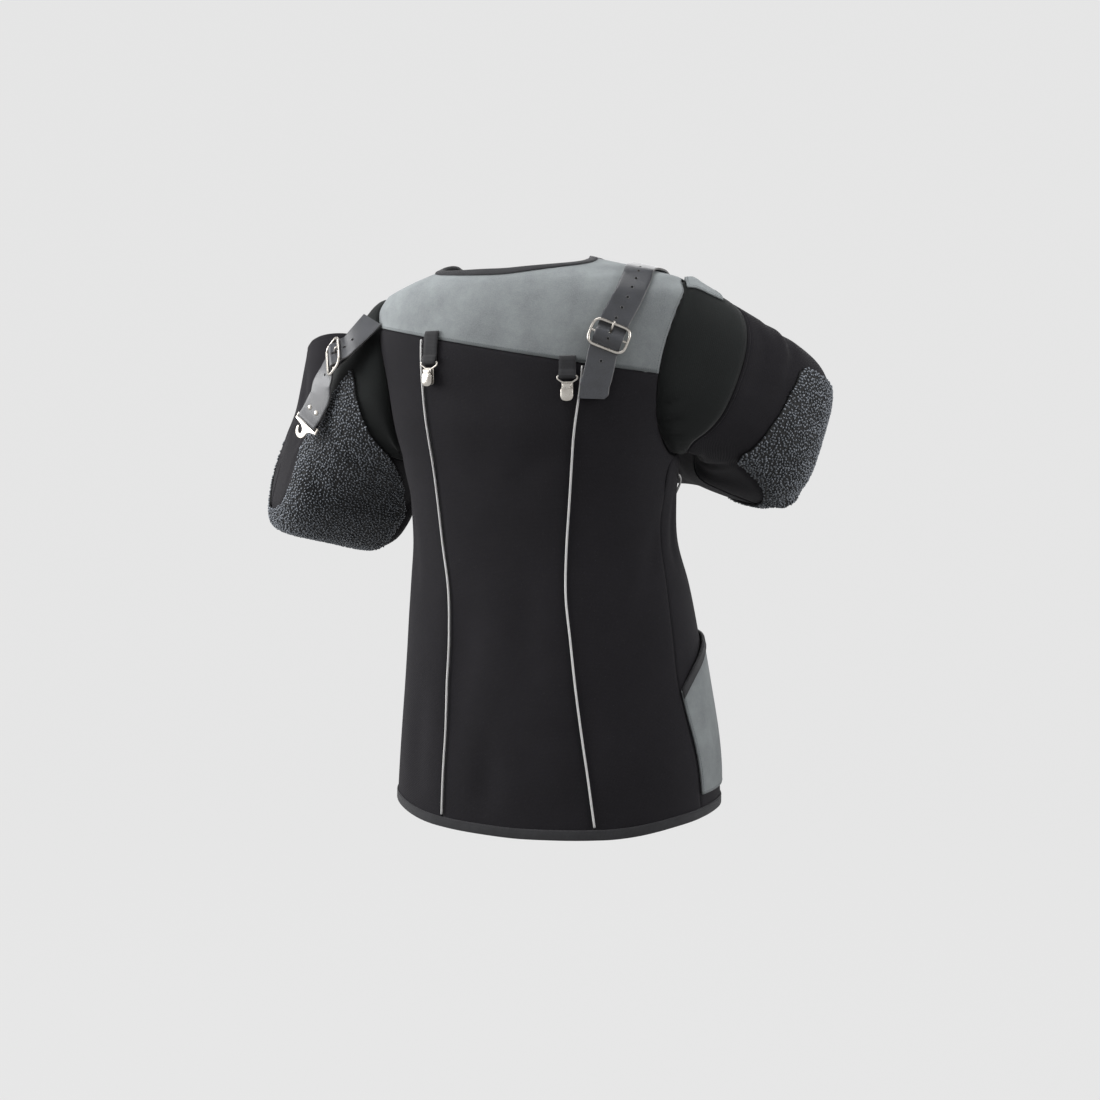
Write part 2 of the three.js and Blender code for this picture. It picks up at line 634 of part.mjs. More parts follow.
add("neck_binding", foldedTape(["shoulder_patch_right", "yoke", "shoulder_patch_left"], -1), TAPE);
const hemPanels = ["back_centre", "back_side_left", "back_side_right", "front_left", "front_right"];
add("hem_binding", foldedTape(hemPanels, 1), TAPE);

const pipedPath = (angleAt, from, to) =>
  span(from, to, 15).map((z) => body(angleAt(z), z, LAID_GAP + 0.4 + PIPING_RADIUS));
for (const [word, seam] of [["left", leftSeam], ["right", rightSeam]]) {
  const low = hemZ(seam(HEM_Z)) + BINDING_WIDTH + 1.5;
  const high = yokeZ(seam(-60), -60) - 2;
  add("piping_back_" + word, wire(pipedPath(seam, low, high), PIPING_RADIUS, 5), WHITE_CORD);
}
// In front, each piping starts at the side seam under the arm and turns down the chest to the hem.
const FRONT_PIPING = [
  { z: -616, angle: 148 },
  { z: -480, angle: 146 },
  { z: -360, angle: 140 },
  { z: -280, angle: 128 },
  { z: -245, angle: 113 },
  { z: -231, angle: 98 },
  { z: -226, angle: 84 },
];
for (const [word, s] of [["left", 1], ["right", -1]]) {
  const last = s > 0 ? 92 : 84;
  // It stands further off under the arm, where the panel's facets lie outside the surface.
  const lift = (angle) => mix(2.8, s > 0 ? 0.9 : 1.4, ease((angle - 104) / 30));
  const path = FRONT_PIPING.filter((row) => row.angle >= last).map((row) => V(row.angle, row.z, 0));
  const smooth = new THREE.CatmullRomCurve3(path, false, "centripetal").getSpacedPoints(16);
  const points = smooth.map((p) => body(s * p.x, p.y, lift(p.x) + PIPING_RADIUS));
  add("piping_front_" + word, wire(points, PIPING_RADIUS, 5), WHITE_CORD);
}

// ---------------------------------------------------------------- placket, buttons and pocket
const LAID_HIGH = 0.8; // under pieces whose points don't follow the panel's own
const PLACKET_WIDTH = 38;
const placketGrid = bodyGrid({
  left: (z) => 180 - degrees(PLACKET_WIDTH / 2, 180, z),
  right: (z) => 180 + degrees(PLACKET_WIDTH / 2, 180, z),
  levels: [() => hemZ(180) + BINDING_WIDTH + 1.5, underArm, () => neckZ(180) - NECK_TAPE - 1.5],
  columns: 2, rows: [8, 6],
});
add("placket", bodyWall(placketGrid, CANVAS, LAID_HIGH + CANVAS), CLOTH);

const BUTTON_COUNT = 6;
const BUTTON_Z = [-112, -596];
for (let i = 0; i < BUTTON_COUNT; i++) {
  const z = mix(BUTTON_Z[0], BUTTON_Z[1], i / (BUTTON_COUNT - 1));
  const g = new THREE.CylinderGeometry(8.2, 9, 3.4, 20);
  g.applyQuaternion(new THREE.Quaternion().setFromUnitVectors(V(0, 1, 0), bodyNormal(180, z)));
  g.translate(...body(180, z, LAID_HIGH + CANVAS + LAID_GAP + 0.2 + 1.7).toArray());
  add("button_" + (i + 1), g, BUTTON);
}

const POCKET_MOUTH = [
  { angle: 66, z: -486 },
  { angle: 76, z: -462 },
  { angle: 84, z: -452 },
  { angle: 90, z: -442 },
  { angle: 97, z: -433 },
  { angle: 106, z: -427 },
  { angle: 120, z: -423 },
  { angle: 140, z: -421 },
];
const POCKET = { bottom: -604, inner: 138, bulge: 2.5 };
const mouthZ = (angle) => read(POCKET_MOUTH, "angle", "z", Math.abs(angle));
const pocketGrid = bodyGrid({
  left: (z) => -armholeAngle(z, -1, -1) - 0.8, right: () => -POCKET.inner,
  levels: [() => POCKET.bottom, mouthZ],
  columns: 7, rows: [6],
});
const pocketWall = (grid, lift) =>
  grid.map((line, i) =>
    line.map(([angle, z], j) => {
      const across = Math.sin((Math.PI * j) / (line.length - 1)) ** 0.7;
      const up = Math.sin(Math.PI * mix(0.02, 0.62, i / (grid.length - 1)));
      return body(angle, z, LAID_HIGH + POCKET.bulge * across * up + lift);
    }),
  );
add("pocket", wall(pocketWall(pocketGrid, SUEDE), pocketWall(pocketGrid, 0)), GREY_SUEDE);

// The pocket's mouth has a tape folded over it, made on the pocket's own top row.
function mouthTape() {
  const top = pocketGrid[pocketGrid.length - 1];
  const lift = (j) => {
    const across = Math.sin((Math.PI * j) / (top.length - 1)) ** 0.7;
    return LAID_HIGH + POCKET.bulge * across * Math.sin(Math.PI * 0.62);
  };
  const rows = [
    { out: SUEDE, along: -10, nap: 1 },
    { out: SUEDE, along: -0.4, nap: 1 },
    { out: SUEDE / 2, along: 0.5, nap: 0 },
    { out: 0, along: -0.4, nap: -0.3 },
    { out: 0, along: -2.5, nap: -0.3 },
  ];
  const grid = (push) =>
    rows.map((row) =>
      top.map(([angle, z], j) => {
        const along = row.along + (row.nap === 0 ? push : 0);
        return body(angle, z + along, lift(j) + row.out + row.nap * push);
      }),
    );
  return wall(grid(BIND_OUT + 0.7), grid(LAID_GAP + 0.7));
}
add("pocket_binding", mouthTape(), TAPE);

// ---------------------------------------------------------------- straps
// A flat strip along stations, each a middle point at its under face, the way its face looks, and a half width.
function strip(stations, thickness, columns = 2) {
  const n = stations.length;
  const grid = (lift) =>
    stations.map(({ p, n: face, half }, i) => {
      const along = stations[Math.min(n - 1, i + 1)].p.clone().sub(stations[Math.max(0, i - 1)].p);
      const side = along.cross(face).normalize();
      const [a, b] = Array.isArray(half) ? half : [half, half];
      return Array.from({ length: columns + 1 }, (_, j) =>
        p.clone().addScaledVector(face, lift).addScaledVector(side, mix(-a, b, j / columns)),
      );
    });
  return wall(grid(thickness), grid(0));
}

// A buckle's own axes: where it is, the strap's way through it, its face and its width.
function axes(at, along, face) {
  const n = face.clone().normalize();
  const t = along.clone().addScaledVector(n, -along.dot(n)).normalize();
  const s = t.clone().cross(n);
  return { at, t, n, s, put: (x, y, z) => at.clone().addScaledVector(s, x).addScaledVector(t, y).addScaledVector(n, z) };
}

const WIRE = 1.8;
const FRAME = { width: 45, length: 30, corner: 8 };
const UNDER_BAR = 1.4; // the strap's under face, below the frame's end bars
const BAR_HEIGHT = UNDER_BAR + LEATHER + LAID_GAP + WIRE;
const OVER_BAR = BAR_HEIGHT + WIRE + LAID_GAP;
const BUMP = 13; // the strap is back down this far from the middle bar
const strapLift = (y) =>
  Math.abs(y) < BUMP ? mix(UNDER_BAR, OVER_BAR, 0.5 + 0.5 * Math.cos((Math.PI * y) / BUMP)) : UNDER_BAR;

function buckle(name, frame) {
  const corner = (x, y, turn) =>
    span(0, 90, 4).map((a) => {
      const at = rad(turn + a);
      return frame.put(x + FRAME.corner * Math.cos(at), y + FRAME.corner * Math.sin(at), BAR_HEIGHT);
    });
  const [w, l] = [FRAME.width / 2 - FRAME.corner, FRAME.length / 2 - FRAME.corner];
  const ring = wire([...corner(w, l, 0), ...corner(-w, l, 90), ...corner(-w, -l, 180), ...corner(w, -l, 270)], WIRE, 8, true);
  const bar = wire([frame.put(-FRAME.width / 2, 0, BAR_HEIGHT), frame.put(FRAME.width / 2, 0, BAR_HEIGHT)], WIRE * 0.9, 8);
  add(name + "_frame", join(ring, bar), STEEL);
  const tongue = [[-3.6, 4.6], [-6, 5.8], [-9, 8.2], [-12, 10], [-15, 10.6], [-18.4, 9.8]];
  const lift = BAR_HEIGHT - 6.5;
  add(name + "_tongue", wire(tongue.map(([y, z]) => frame.put(0, y, z + lift)), 1.2, 8), STEEL);
}

// The slot that the tongue comes up through.
function slot(frame) {
  const g = new THREE.BoxGeometry(3.4, 10.6, 14);
  g.applyMatrix4(new THREE.Matrix4().makeBasis(frame.s, frame.t, frame.n));
  g.translate(...frame.put(0, -7.6, 8).toArray());
  return g;
}

const STRAP_HALF = 17;

// The strap over the right shoulder, from the front to its cut end on the back: sideways place, height, and how
// far the under face stands off the cloth.
const SHOULDER_STRAP = [
  { x: -130, z: -82, out: 1.4, front: true },
  { x: -133, z: -50, out: 1.4, front: true },
  { x: -136, z: -22, out: 1.6, front: true },
  { x: -139, z: -6, out: 1.8, front: true },
  { x: -141, z: 3, out: 2, front: true },
  { x: -142.5, z: 9, out: 2, front: true },
  { x: -143.9, z: 12, out: 2 },
  { x: -145, z: 9, out: 2 },
  { x: -146.5, z: 4, out: 2 },
  { x: -147.5, z: -4, out: 1.8 },
  { x: -146, z: -14, out: 1.6 },
  { x: -142, z: -28, out: 1.5 },
  { x: -136, z: -42, out: 1.4 },
];
const SHOULDER_TAIL = [
  { x: -116, z: -101, out: 2.6 },
  { x: -113, z: -114, out: 4 },
  { x: -111.5, z: -122, out: 4.6 },
  { x: -110.5, z: -133, out: 4.8 },
];
function place({ x, z, front }) {
  const angle = angleOf(x - read(BODY, "z", "shift", z), z);
  return front ? Math.sign(x) * 180 - angle : angle;
}
const onBody = (row, half = STRAP_HALF) => {
  const angle = place(row);
  return { p: body(angle, row.z, row.out), n: bodyNormal(angle, row.z), half };
};
const rightFrame = axes(
  body(-34.9, -71, 0),
  bodyPoint(-33.4, -92).sub(bodyPoint(-37.4, -52)),
  bodyNormal(-34.9, -71),
);
const throughBuckle = (frame, from, to, steps) =>
  span(from, to, steps).map((y) => ({ p: frame.put(0, y, strapLift(y)), n: frame.n.clone(), half: STRAP_HALF }));
const tail = SHOULDER_TAIL.map((row) => onBody(row));
tail[3].half = [STRAP_HALF - 6, STRAP_HALF];
const shoulderStations = [
  ...SHOULDER_STRAP.map((row) => onBody(row)),
  ...throughBuckle(rightFrame, -20, 20, 16),
  ...tail,
];
add("shoulder_strap", cut(strip(shoulderStations, LEATHER), slot(rightFrame)), STRAP);
buckle("shoulder_buckle", rightFrame);

// The sling strap stands off the left sleeve: through its buckle, and down to its hook.
const slingFrame = axes(V(243.5, 56, -84), V(0.69, -0.42, -0.59), V(0.62, 0.74, 0.26));
const HANG = { along: V(0.545, -0.152, -0.824), face: V(0.259, 0.966, 0) };
const hookFrame = axes(V(292, 43.5, -163), HANG.along, HANG.face);
const slingStart = [
  { p: V(196, 51, -38), n: V(0.2, 0.93, 0.3), half: STRAP_HALF },
  { p: V(206, 57.5, -51), n: V(0.28, 0.91, 0.3), half: STRAP_HALF },
  { p: V(217, 61.5, -63), n: V(0.4, 0.86, 0.3), half: STRAP_HALF },
  { p: V(226, 62.5, -71.5), n: V(0.52, 0.81, 0.28), half: STRAP_HALF },
];
const slingTail = [
  { p: V(262.5, 48, -104.5), n: V(0.5, 0.85, 0.14), half: STRAP_HALF },
  { p: V(268.5, 48, -117), n: V(0.38, 0.92, 0.06), half: STRAP_HALF },
  { p: hookFrame.put(0, -36, -LEATHER / 2), n: HANG.face, half: STRAP_HALF },
  { p: hookFrame.put(0, -26, -LEATHER / 2), n: HANG.face, half: STRAP_HALF },
  { p: hookFrame.put(0, -12, -LEATHER / 2), n: HANG.face, half: STRAP_HALF },
  { p: hookFrame.put(0, -2, -LEATHER / 2), n: HANG.face, half: STRAP_HALF },
];
for (const row of [...slingStart, ...slingTail]) row.n = row.n.clone().normalize();
const sling = [...slingStart, ...throughBuckle(slingFrame, -14, 18, 16), ...slingTail];

// A round bar or hole across a frame.
function across(frame, y, z, radius, half, sides = 14) {
  return wire([frame.put(-half, y, z), frame.put(half, y, z)], radius, sides);
}
const HOOK_BAR = 1.4;
const slingLoop = across(hookFrame, 0, 0, 3.3, STRAP_HALF);
const slingHole = across(hookFrame, 0, 0, HOOK_BAR + 0.45, STRAP_HALF + 3);
add("sling_strap", cut(join(strip(sling, LEATHER), slingLoop), slingHole, slot(slingFrame)), STRAP);
buckle("sling_buckle", slingFrame);


// Under the sling strap a shorter layer goes from the seam to the buckle's middle bar.
const slingUnder = [
  ...slingStart.slice(0, 3).map(({ p, n }, i) => ({ p: p.clone().addScaledVector(n, -2.65 - i), n: n.clone(), half: 12.5 })),
  { p: slingFrame.put(-2, -16, -4.6), n: slingFrame.n.clone(), half: 14 },
  { p: slingFrame.put(-1, -8, -2.8), n: slingFrame.n.clone(), half: 14 },
  { p: slingFrame.put(0, 2, -2.2), n: slingFrame.n.clone(), half: 14 },
];
for (const row of slingUnder) row.n.normalize();
add("sling_strap_under", strip(slingUnder, 2.4), STRAP);

const RIVET = { radius: 3.2, height: 1.2, back: -17, apart: 6.5 };
for (const [word, s] of [["upper", 1], ["lower", -1]]) {
  const g = new THREE.CylinderGeometry(RIVET.radius * 0.75, RIVET.radius, RIVET.height, 14);
  g.applyQuaternion(new THREE.Quaternion().setFromUnitVectors(V(0, 1, 0), hookFrame.n));
  g.translate(...hookFrame.put(s * RIVET.apart, RIVET.back, LEATHER / 2 + LAID_GAP + RIVET.height / 2).toArray());
  add("rivet_" + word, g, STEEL);
}

// An outline given as (across, along) pairs, as a plate lying in a frame between two heights.
function plate(frame, outline, low, high) {
  const shape = new THREE.Shape(outline.map(([x, y]) => new THREE.Vector2(x, y)));
  const g = new THREE.ExtrudeGeometry(shape, { depth: high - low, bevelEnabled: false });
  g.deleteAttribute("normal");
  g.deleteAttribute("uv");
  const made = mergeVertices(g, 1e-4);
  const p = made.attributes.position;
  for (let i = 0; i < p.count; i++) {
    const q = frame.put(p.getX(i), p.getY(i), p.getZ(i) + low);
    p.setXYZ(i, q.x, q.y, q.z);
  }
  const flat = [];
  for (let i = 0; i < p.count; i++) flat.push(V(p.getX(i), p.getY(i), p.getZ(i)));
  const faces = [];
  for (let i = 0; i < made.index.count; i += 3) faces.push([0, 1, 2].map((k) => made.index.getX(i + k)));
  return solid(flat, faces);
}

// The sling hook: a bar through the strap's loop, and a claw that curls up beside its neck.
const HOOK_OUTLINE = [
  [20.4, 4.8], [-20.4, 4.8], [-20.4, 7.4], [-11, 10], [-6.5, 14], [-5.6, 20], [-2.4, 24.6], [3, 26.4], [8.6, 24.4],
  [11.8, 19.6], [12.2, 13.4], [9.6, 12.6], [8.6, 17], [6.4, 20.4], [3.4, 21.4], [1, 18.6], [2, 13.6], [7, 9.6],
  [20.4, 7.6],
];
const leg = (frame, x, from, to, radius) => wire([frame.put(x, from, 0), frame.put(x, to, 0)], radius, 10);
add(
  "sling_hook",
  join(
    across(hookFrame, 0, 0, HOOK_BAR, 20.2, 12),
    leg(hookFrame, 19, -0.6, 6, 1.4),
    leg(hookFrame, -19, -0.6, 6, 1.4),
    plate(hookFrame, HOOK_OUTLINE, -1.3, 1.3),
  ),
  STEEL,
);

// ---------------------------------------------------------------- hanging clips
// Each clip hangs by its wire loop from a webbing tab under the yoke's edge. Its cover turns on a knuckle.
const TAB = { half: 10, thickness: 1.6, out: 0.9, barrel: 2.7, hole: 1.5 };
const LOOP_WIRE = 1.1;
const PIVOT = { y: 10.5, z: 3.2 };
const CLIPS = [
  { word: "left", x: 94, top: -55, bar: -91 },
  { word: "right", x: -79.5, top: -92, bar: -114 },
];

function clip({ word, x, top, bar }) {
  const angle = place({ x, z: bar });
  const face = bodyNormal(angle, bar).setZ(0);
  const frame = axes(body(angle, bar, 3.6), V(0, 0, -1), face);
  const rows = span(top, bar, 4).map((z) => ({
    p: body(place({ x, z }), z, TAB.out), n: face.clone().normalize(), half: TAB.half,
  }));
  const barrel = across(frame, 0, 0, TAB.barrel, TAB.half, 16);
  const hole = across(frame, 0, 0, TAB.hole, TAB.half + 3, 14);
  add("clip_" + word + "_tab", cut(join(strip(rows, TAB.thickness), barrel), hole), TAPE);

  const loop = [[-11.6, 0], [11.6, 0], [11.6, 3.4], [5, 7.6], [-5, 7.6], [-11.6, 3.4]];
  const ring = wire(loop.map(([a, b]) => frame.put(a, b, 0)), LOOP_WIRE, 8, true);
  const back = plate(frame, [[-6.5, 6.6], [6.5, 6.6], [6.8, 24], [5.6, 26.6], [-5.6, 26.6], [-6.8, 24]], -1, 0.5);
  const ear = (side) =>
    plate(frame, [[side * 4.6, 8.6], [side * 6, 8.6], [side * 6, 12.8], [side * 4.6, 12.8]], 0.2, 4.2);
  add("clip_" + word + "_body", join(ring, back, ear(1), ear(-1)), STEEL);

  const knuckle = across(frame, PIVOT.y, PIVOT.z, 1.5, 4.25, 14);
  const neck = plate(frame, [[-4.2, 9.4], [4.2, 9.4], [4.2, 14.4], [-4.2, 14.4]], 4, 5.6);
  const cover = plate(
    frame,
    [[-5.2, 13.2], [5.2, 13.2], [7.2, 15.4], [7.2, 25], [5, 28], [0, 29], [-5, 28], [-7.2, 25], [-7.2, 15.4]],
    4, 5.6,
  );
  add("clip_" + word + "_lever", join(knuckle, neck, cover), STEEL);
  return frame;
}
const clipFrames = CLIPS.map(clip);

export default jacket;
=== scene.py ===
# %% [markdown]
# # A shooting jacket
# A target shooter wears a stiff jacket of heavy double canvas. This one has a suede yoke over the shoulders,
# pebbled rubber on both elbows, one leather strap over the right shoulder and a second one for the rifle's
# sling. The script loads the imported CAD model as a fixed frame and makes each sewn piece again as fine, soft
# cloth.

# %% Load the frame
import json
import math

import bmesh
import bpy
import numpy as np
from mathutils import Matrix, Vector, noise
from mathutils.bvhtree import BVHTree
from mathutils.kdtree import KDTree


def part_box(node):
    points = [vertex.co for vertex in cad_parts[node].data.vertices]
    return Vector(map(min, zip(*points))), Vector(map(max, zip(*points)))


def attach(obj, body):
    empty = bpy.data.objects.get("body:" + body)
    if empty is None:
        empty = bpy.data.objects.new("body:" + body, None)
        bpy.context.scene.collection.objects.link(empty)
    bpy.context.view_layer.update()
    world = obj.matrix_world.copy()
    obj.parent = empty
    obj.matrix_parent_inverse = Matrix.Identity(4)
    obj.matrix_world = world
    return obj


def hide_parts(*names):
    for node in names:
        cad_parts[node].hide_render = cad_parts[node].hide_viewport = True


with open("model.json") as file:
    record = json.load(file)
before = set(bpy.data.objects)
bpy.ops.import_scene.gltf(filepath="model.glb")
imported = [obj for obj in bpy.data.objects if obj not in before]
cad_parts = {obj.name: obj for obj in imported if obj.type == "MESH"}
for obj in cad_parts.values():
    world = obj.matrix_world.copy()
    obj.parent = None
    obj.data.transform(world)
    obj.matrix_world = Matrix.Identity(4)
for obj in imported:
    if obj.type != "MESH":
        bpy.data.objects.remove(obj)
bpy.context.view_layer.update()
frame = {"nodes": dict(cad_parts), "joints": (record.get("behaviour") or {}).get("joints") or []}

MM = 0.001

# %% [markdown]
# ## Camera
# The jacket is seen from behind and from its own right, almost level. A long lens two metres away keeps the
# proportions calm, as a catalogue picture does.

# %% Camera
AIM = Vector((-0.018, 0, -0.322))
CAMERA_AZIMUTH, CAMERA_ELEVATION, CAMERA_DISTANCE = math.radians(200), math.radians(4), 2.1
towards_camera = Vector((
    math.sin(CAMERA_AZIMUTH) * math.cos(CAMERA_ELEVATION),
    -math.cos(CAMERA_AZIMUTH) * math.cos(CAMERA_ELEVATION),
    math.sin(CAMERA_ELEVATION),
))
camera = bpy.data.objects.new("camera", bpy.data.cameras.new("camera"))
camera.data.lens = 55.64
camera.data.sensor_width = 36
camera.location = AIM + towards_camera * CAMERA_DISTANCE
camera.rotation_mode = "QUATERNION"
camera.rotation_quaternion = (-towards_camera).to_track_quat("-Z", "Y")
bpy.context.scene.collection.objects.link(camera)
bpy.context.scene.camera = camera
bpy.context.scene.view_settings.view_transform = "Standard"
print("camera at", [round(v, 3) for v in camera.location])

# %% [markdown]
# ## Materials, first the small helpers
# Colours are written as sRGB hex values, as a picture shows them, and one function turns them linear, as the
# shader wants them. One more function adds any node with its settings and links.


# %% Colour and node helpers
def colour(code):
    """An sRGB hex code as a linear colour."""
    parts = [int(code[i:i + 2], 16) / 255 for i in (1, 3, 5)]
    return (*[c / 12.92 if c <= 0.04045 else ((c + 0.055) / 1.055) ** 2.4 for c in parts], 1)


def add_node(tree, kind, inputs=None, **settings):
    """Adds a node, with its settings, and with a value or a link for each named input."""
    node = tree.nodes.new(kind)
    for name, value in settings.items():
        setattr(node, name, value)
    for socket, value in (inputs or {}).items():
        if isinstance(value, bpy.types.NodeSocket):
            tree.links.new(value, node.inputs[socket])
        else:
            node.inputs[socket].default_value = value
    return node


def texture_noise(tree, place, scale, detail, **more):
    """Noise from 0 to 1 over a place in metres. A scale of 1000 gives spots about 1 mm wide."""
    inputs = {"Vector": place, "Scale": scale, "Detail": detail, **more}
    return add_node(tree, "ShaderNodeTexNoise", inputs).outputs["Fac"]


def spread(tree, value, low, high, to_low=0.0, to_high=1.0):
    """A value whose range from low to high is spread over another range."""
    return add_node(tree, "ShaderNodeMapRange", {0: value, 1: low, 2: high, 3: to_low, 4: to_high}).outputs[0]


def object_place(tree):
    """The place on an object, in metres, for patterns that lie in space."""
    return add_node(tree, "ShaderNodeTexCoord").outputs["Object"]


def cloth_place(tree):
    """The place on a flat cut of cloth, in metres, for patterns that follow its threads."""
    return add_node(tree, "ShaderNodeUVMap", uv_map="cloth").outputs[0]


def new_material(name, **shader_inputs):
    """A material with one Principled shader, whose constant inputs are set on its own sockets."""
    made = bpy.data.materials.new(name)
    made.use_nodes = True
    shader = made.node_tree.nodes["Principled BSDF"]
    for socket, value in shader_inputs.items():
        shader.inputs[socket.replace("_", " ")].default_value = value
    return made, made.node_tree, shader


def blend_colours(tree, share, low, high):
    """A colour between two, by share."""
    inputs = {0: share, 6: colour(low) if isinstance(low, str) else low,
              7: colour(high) if isinstance(high, str) else high}
    return add_node(tree, "ShaderNodeMix", inputs, data_type="RGBA").outputs[2]


def bumped(tree, shader, height, strength, depth_mm):
    """Height, from 0 to 1, as small relief on the shader's surface."""
    inputs = {"Height": height, "Strength": strength, "Distance": depth_mm * MM}
    bump = add_node(tree, "ShaderNodeBump", inputs)
    tree.links.new(bump.outputs["Normal"], shader.inputs["Normal"])


def sine_ridges(tree, axis_value, pitch_mm):
    """Rounded ridges, from 0 to 1, one every pitch along a coordinate in metres."""
    turns = {0: axis_value, 1: math.pi / (pitch_mm * MM)}
    turned = add_node(tree, "ShaderNodeMath", turns, operation="MULTIPLY")
    wave = add_node(tree, "ShaderNodeMath", {0: turned.outputs[0]}, operation="SINE")
    return add_node(tree, "ShaderNodeMath", {0: wave.outputs[0]}, operation="ABSOLUTE").outputs[0]


# %% [markdown]
# ## Heavy canvas
# The body is black double canvas, a plain weave. Real threads are about 0.7 mm apart, too fine to show, so
# the weave is drawn 1.5 mm apart. Warp and weft take turns on top, which a checker chooses. Slow mottling and
# some lint keep the black alive.


# %% Canvas
LINT = "#6d6b72"


def woven_material(name, base, thread, dust, pitch_mm, sheen, roughness, relief):
    made, tree, shader = new_material(name, Sheen_Weight=sheen, Sheen_Roughness=0.5, Specular_IOR_Level=0.2)
    uv = cloth_place(tree)
    place = object_place(tree)
    split = add_node(tree, "ShaderNodeSeparateXYZ", {0: uv})
    warp = sine_ridges(tree, split.outputs[0], pitch_mm)
    weft = sine_ridges(tree, split.outputs[1], pitch_mm)
    over = add_node(tree, "ShaderNodeTexChecker", {"Vector": uv, "Scale": 1 / (pitch_mm * MM)}).outputs["Fac"]
    weave = add_node(tree, "ShaderNodeMix", {0: over, 2: warp, 3: weft}, data_type="FLOAT").outputs[0]
    yarn = spread(tree, texture_noise(tree, uv, 420, 2), 0.3, 0.75, 0, 0.5)
    cloud = spread(tree, texture_noise(tree, place, 16, 4), 0.42, 0.7, 0, 0.35)
    lint = spread(tree, texture_noise(tree, place, 900, 1), 0.68, 0.84, 0, 0.2)
    varied = blend_colours(tree, yarn, blend_colours(tree, weave, base, thread), thread)
    worn = blend_colours(tree, cloud, varied, dust)
    tree.links.new(blend_colours(tree, lint, worn, LINT), shader.inputs["Base Color"])
    dull = spread(tree, weave, 0, 1, roughness + 0.08, roughness - 0.05)  # threads on top are rubbed smoother
    tree.links.new(dull, shader.inputs["Roughness"])
    bumped(tree, shader, weave, relief, 0.35)
    return made


CANVAS = woven_material("black_double_canvas", "#08070a", "#1f1d22", "#242227", 1.5, 0.03, 0.84, 0.65)
SOFT_CLOTH = woven_material("soft_shoulder_cloth", "#141616", "#1e2121", "#242827", 1.1, 0.1, 0.92, 0.3)
print("made", CANVAS.name, "and", SOFT_CLOTH.name)

# %% [markdown]
# ## Suede
# The yoke, the shoulder patches and the pocket are split leather with its nap raised. The nap is soft, so it
# has no gloss but a pale sheen at grazing angles, and it lies this way and that, which makes light and dark
# patches some centimetres wide.


# %% Suede
def suede_material():
    made, tree, shader = new_material(
        "grey_suede", Sheen_Weight=0.2, Sheen_Roughness=0.6, Sheen_Tint=colour("#c8cfd0"), Roughness=0.97,
        Specular_IOR_Level=0.3
    )
    place = object_place(tree)
    broad = spread(tree, texture_noise(tree, place, 22, 6, Roughness=0.6), 0.36, 0.66)
    middle = spread(tree, texture_noise(tree, place, 130, 5, Roughness=0.65), 0.3, 0.72, 0, 0.55)
    nap = texture_noise(tree, place, 900, 3)
    mottled = blend_colours(tree, broad, "#7f8487", "#a1a7a9")
    mottled = blend_colours(tree, middle, mottled, "#878c8e")
    mottled = blend_colours(tree, spread(tree, nap, 0.3, 0.75, 0, 0.5), mottled, "#abafb0")
    tree.links.new(mottled, shader.inputs["Base Color"])
    bumped(tree, shader, nap, 0.5, 0.35)
    return made


SUEDE = suede_material()
print("made", SUEDE.name)

# %% [markdown]
# ## Tapes, piping and thread
# Grosgrain tape has fine ribs across it. The piping is a cord in a white satin tube. Thread is drawn a little
# thicker than its real 0.4 mm so that each stitch still shows.


# %% Tapes, piping and thread
def ribbed_material(name, low, high, pitch_mm):
    made, tree, shader = new_material(name, Roughness=0.82, Sheen_Weight=0.15, Sheen_Roughness=0.4)
    uv = cloth_place(tree)
    split = add_node(tree, "ShaderNodeSeparateXYZ", {0: uv})
    ribs = sine_ridges(tree, split.outputs["Y"], pitch_mm)  # across the tape, as Y runs along it
    wear = texture_noise(tree, uv, 60, 4)
    worn = add_node(tree, "ShaderNodeMath", {0: ribs, 1: wear}, operation="MULTIPLY").outputs[0]
    tree.links.new(blend_colours(tree, worn, low, high), shader.inputs["Base Color"])
    bumped(tree, shader, ribs, 0.6, 0.4)
    return made


TAPE = ribbed_material("ribbed_binding_tape", "#19191c", "#3c3c40", 1.5)
WEBBING = ribbed_material("black_webbing", "#131315", "#333338", 1.6)
WHITE_CORD = ribbed_material("white_satin_piping", "#efeeec", "#ffffff", 1.1)
DARK_THREAD = new_material("dark_thread", Base_Color=colour("#2a292d"), Roughness=0.7)[0]
GREY_THREAD = new_material("grey_thread", Base_Color=colour("#6d7476"), Roughness=0.7)[0]
print("made", TAPE.name, WEBBING.name, WHITE_CORD.name)

# %% [markdown]
# ## Strap leather
# The straps are thick grained leather, dyed dark and waxed, so they shine softly. A Voronoi pattern gives the
# grain cells about 0.9 mm across. Their sides are cut raw, which shows the pale middle of the hide.


# %% Leather
def leather_material():
    made, tree, shader = new_material("waxed_strap_leather", Coat_Weight=0.55, Coat_Roughness=0.36)
    place = object_place(tree)
    spots = {"Vector": place, "Scale": 1100}
    cells = add_node(tree, "ShaderNodeTexVoronoi", spots, feature="DISTANCE_TO_EDGE")
    grain = spread(tree, cells.outputs["Distance"], 0, 0.12)
    patch = texture_noise(tree, place, 55, 5)
    body = blend_colours(tree, patch, "#2a2c31", "#4b4e56")
    tree.links.new(blend_colours(tree, grain, "#19191c", body), shader.inputs["Base Color"])
    tree.links.new(spread(tree, patch, 0.3, 0.7, 0.36, 0.5), shader.inputs["Roughness"])
    bumped(tree, shader, grain, 0.22, 0.25)
    return made


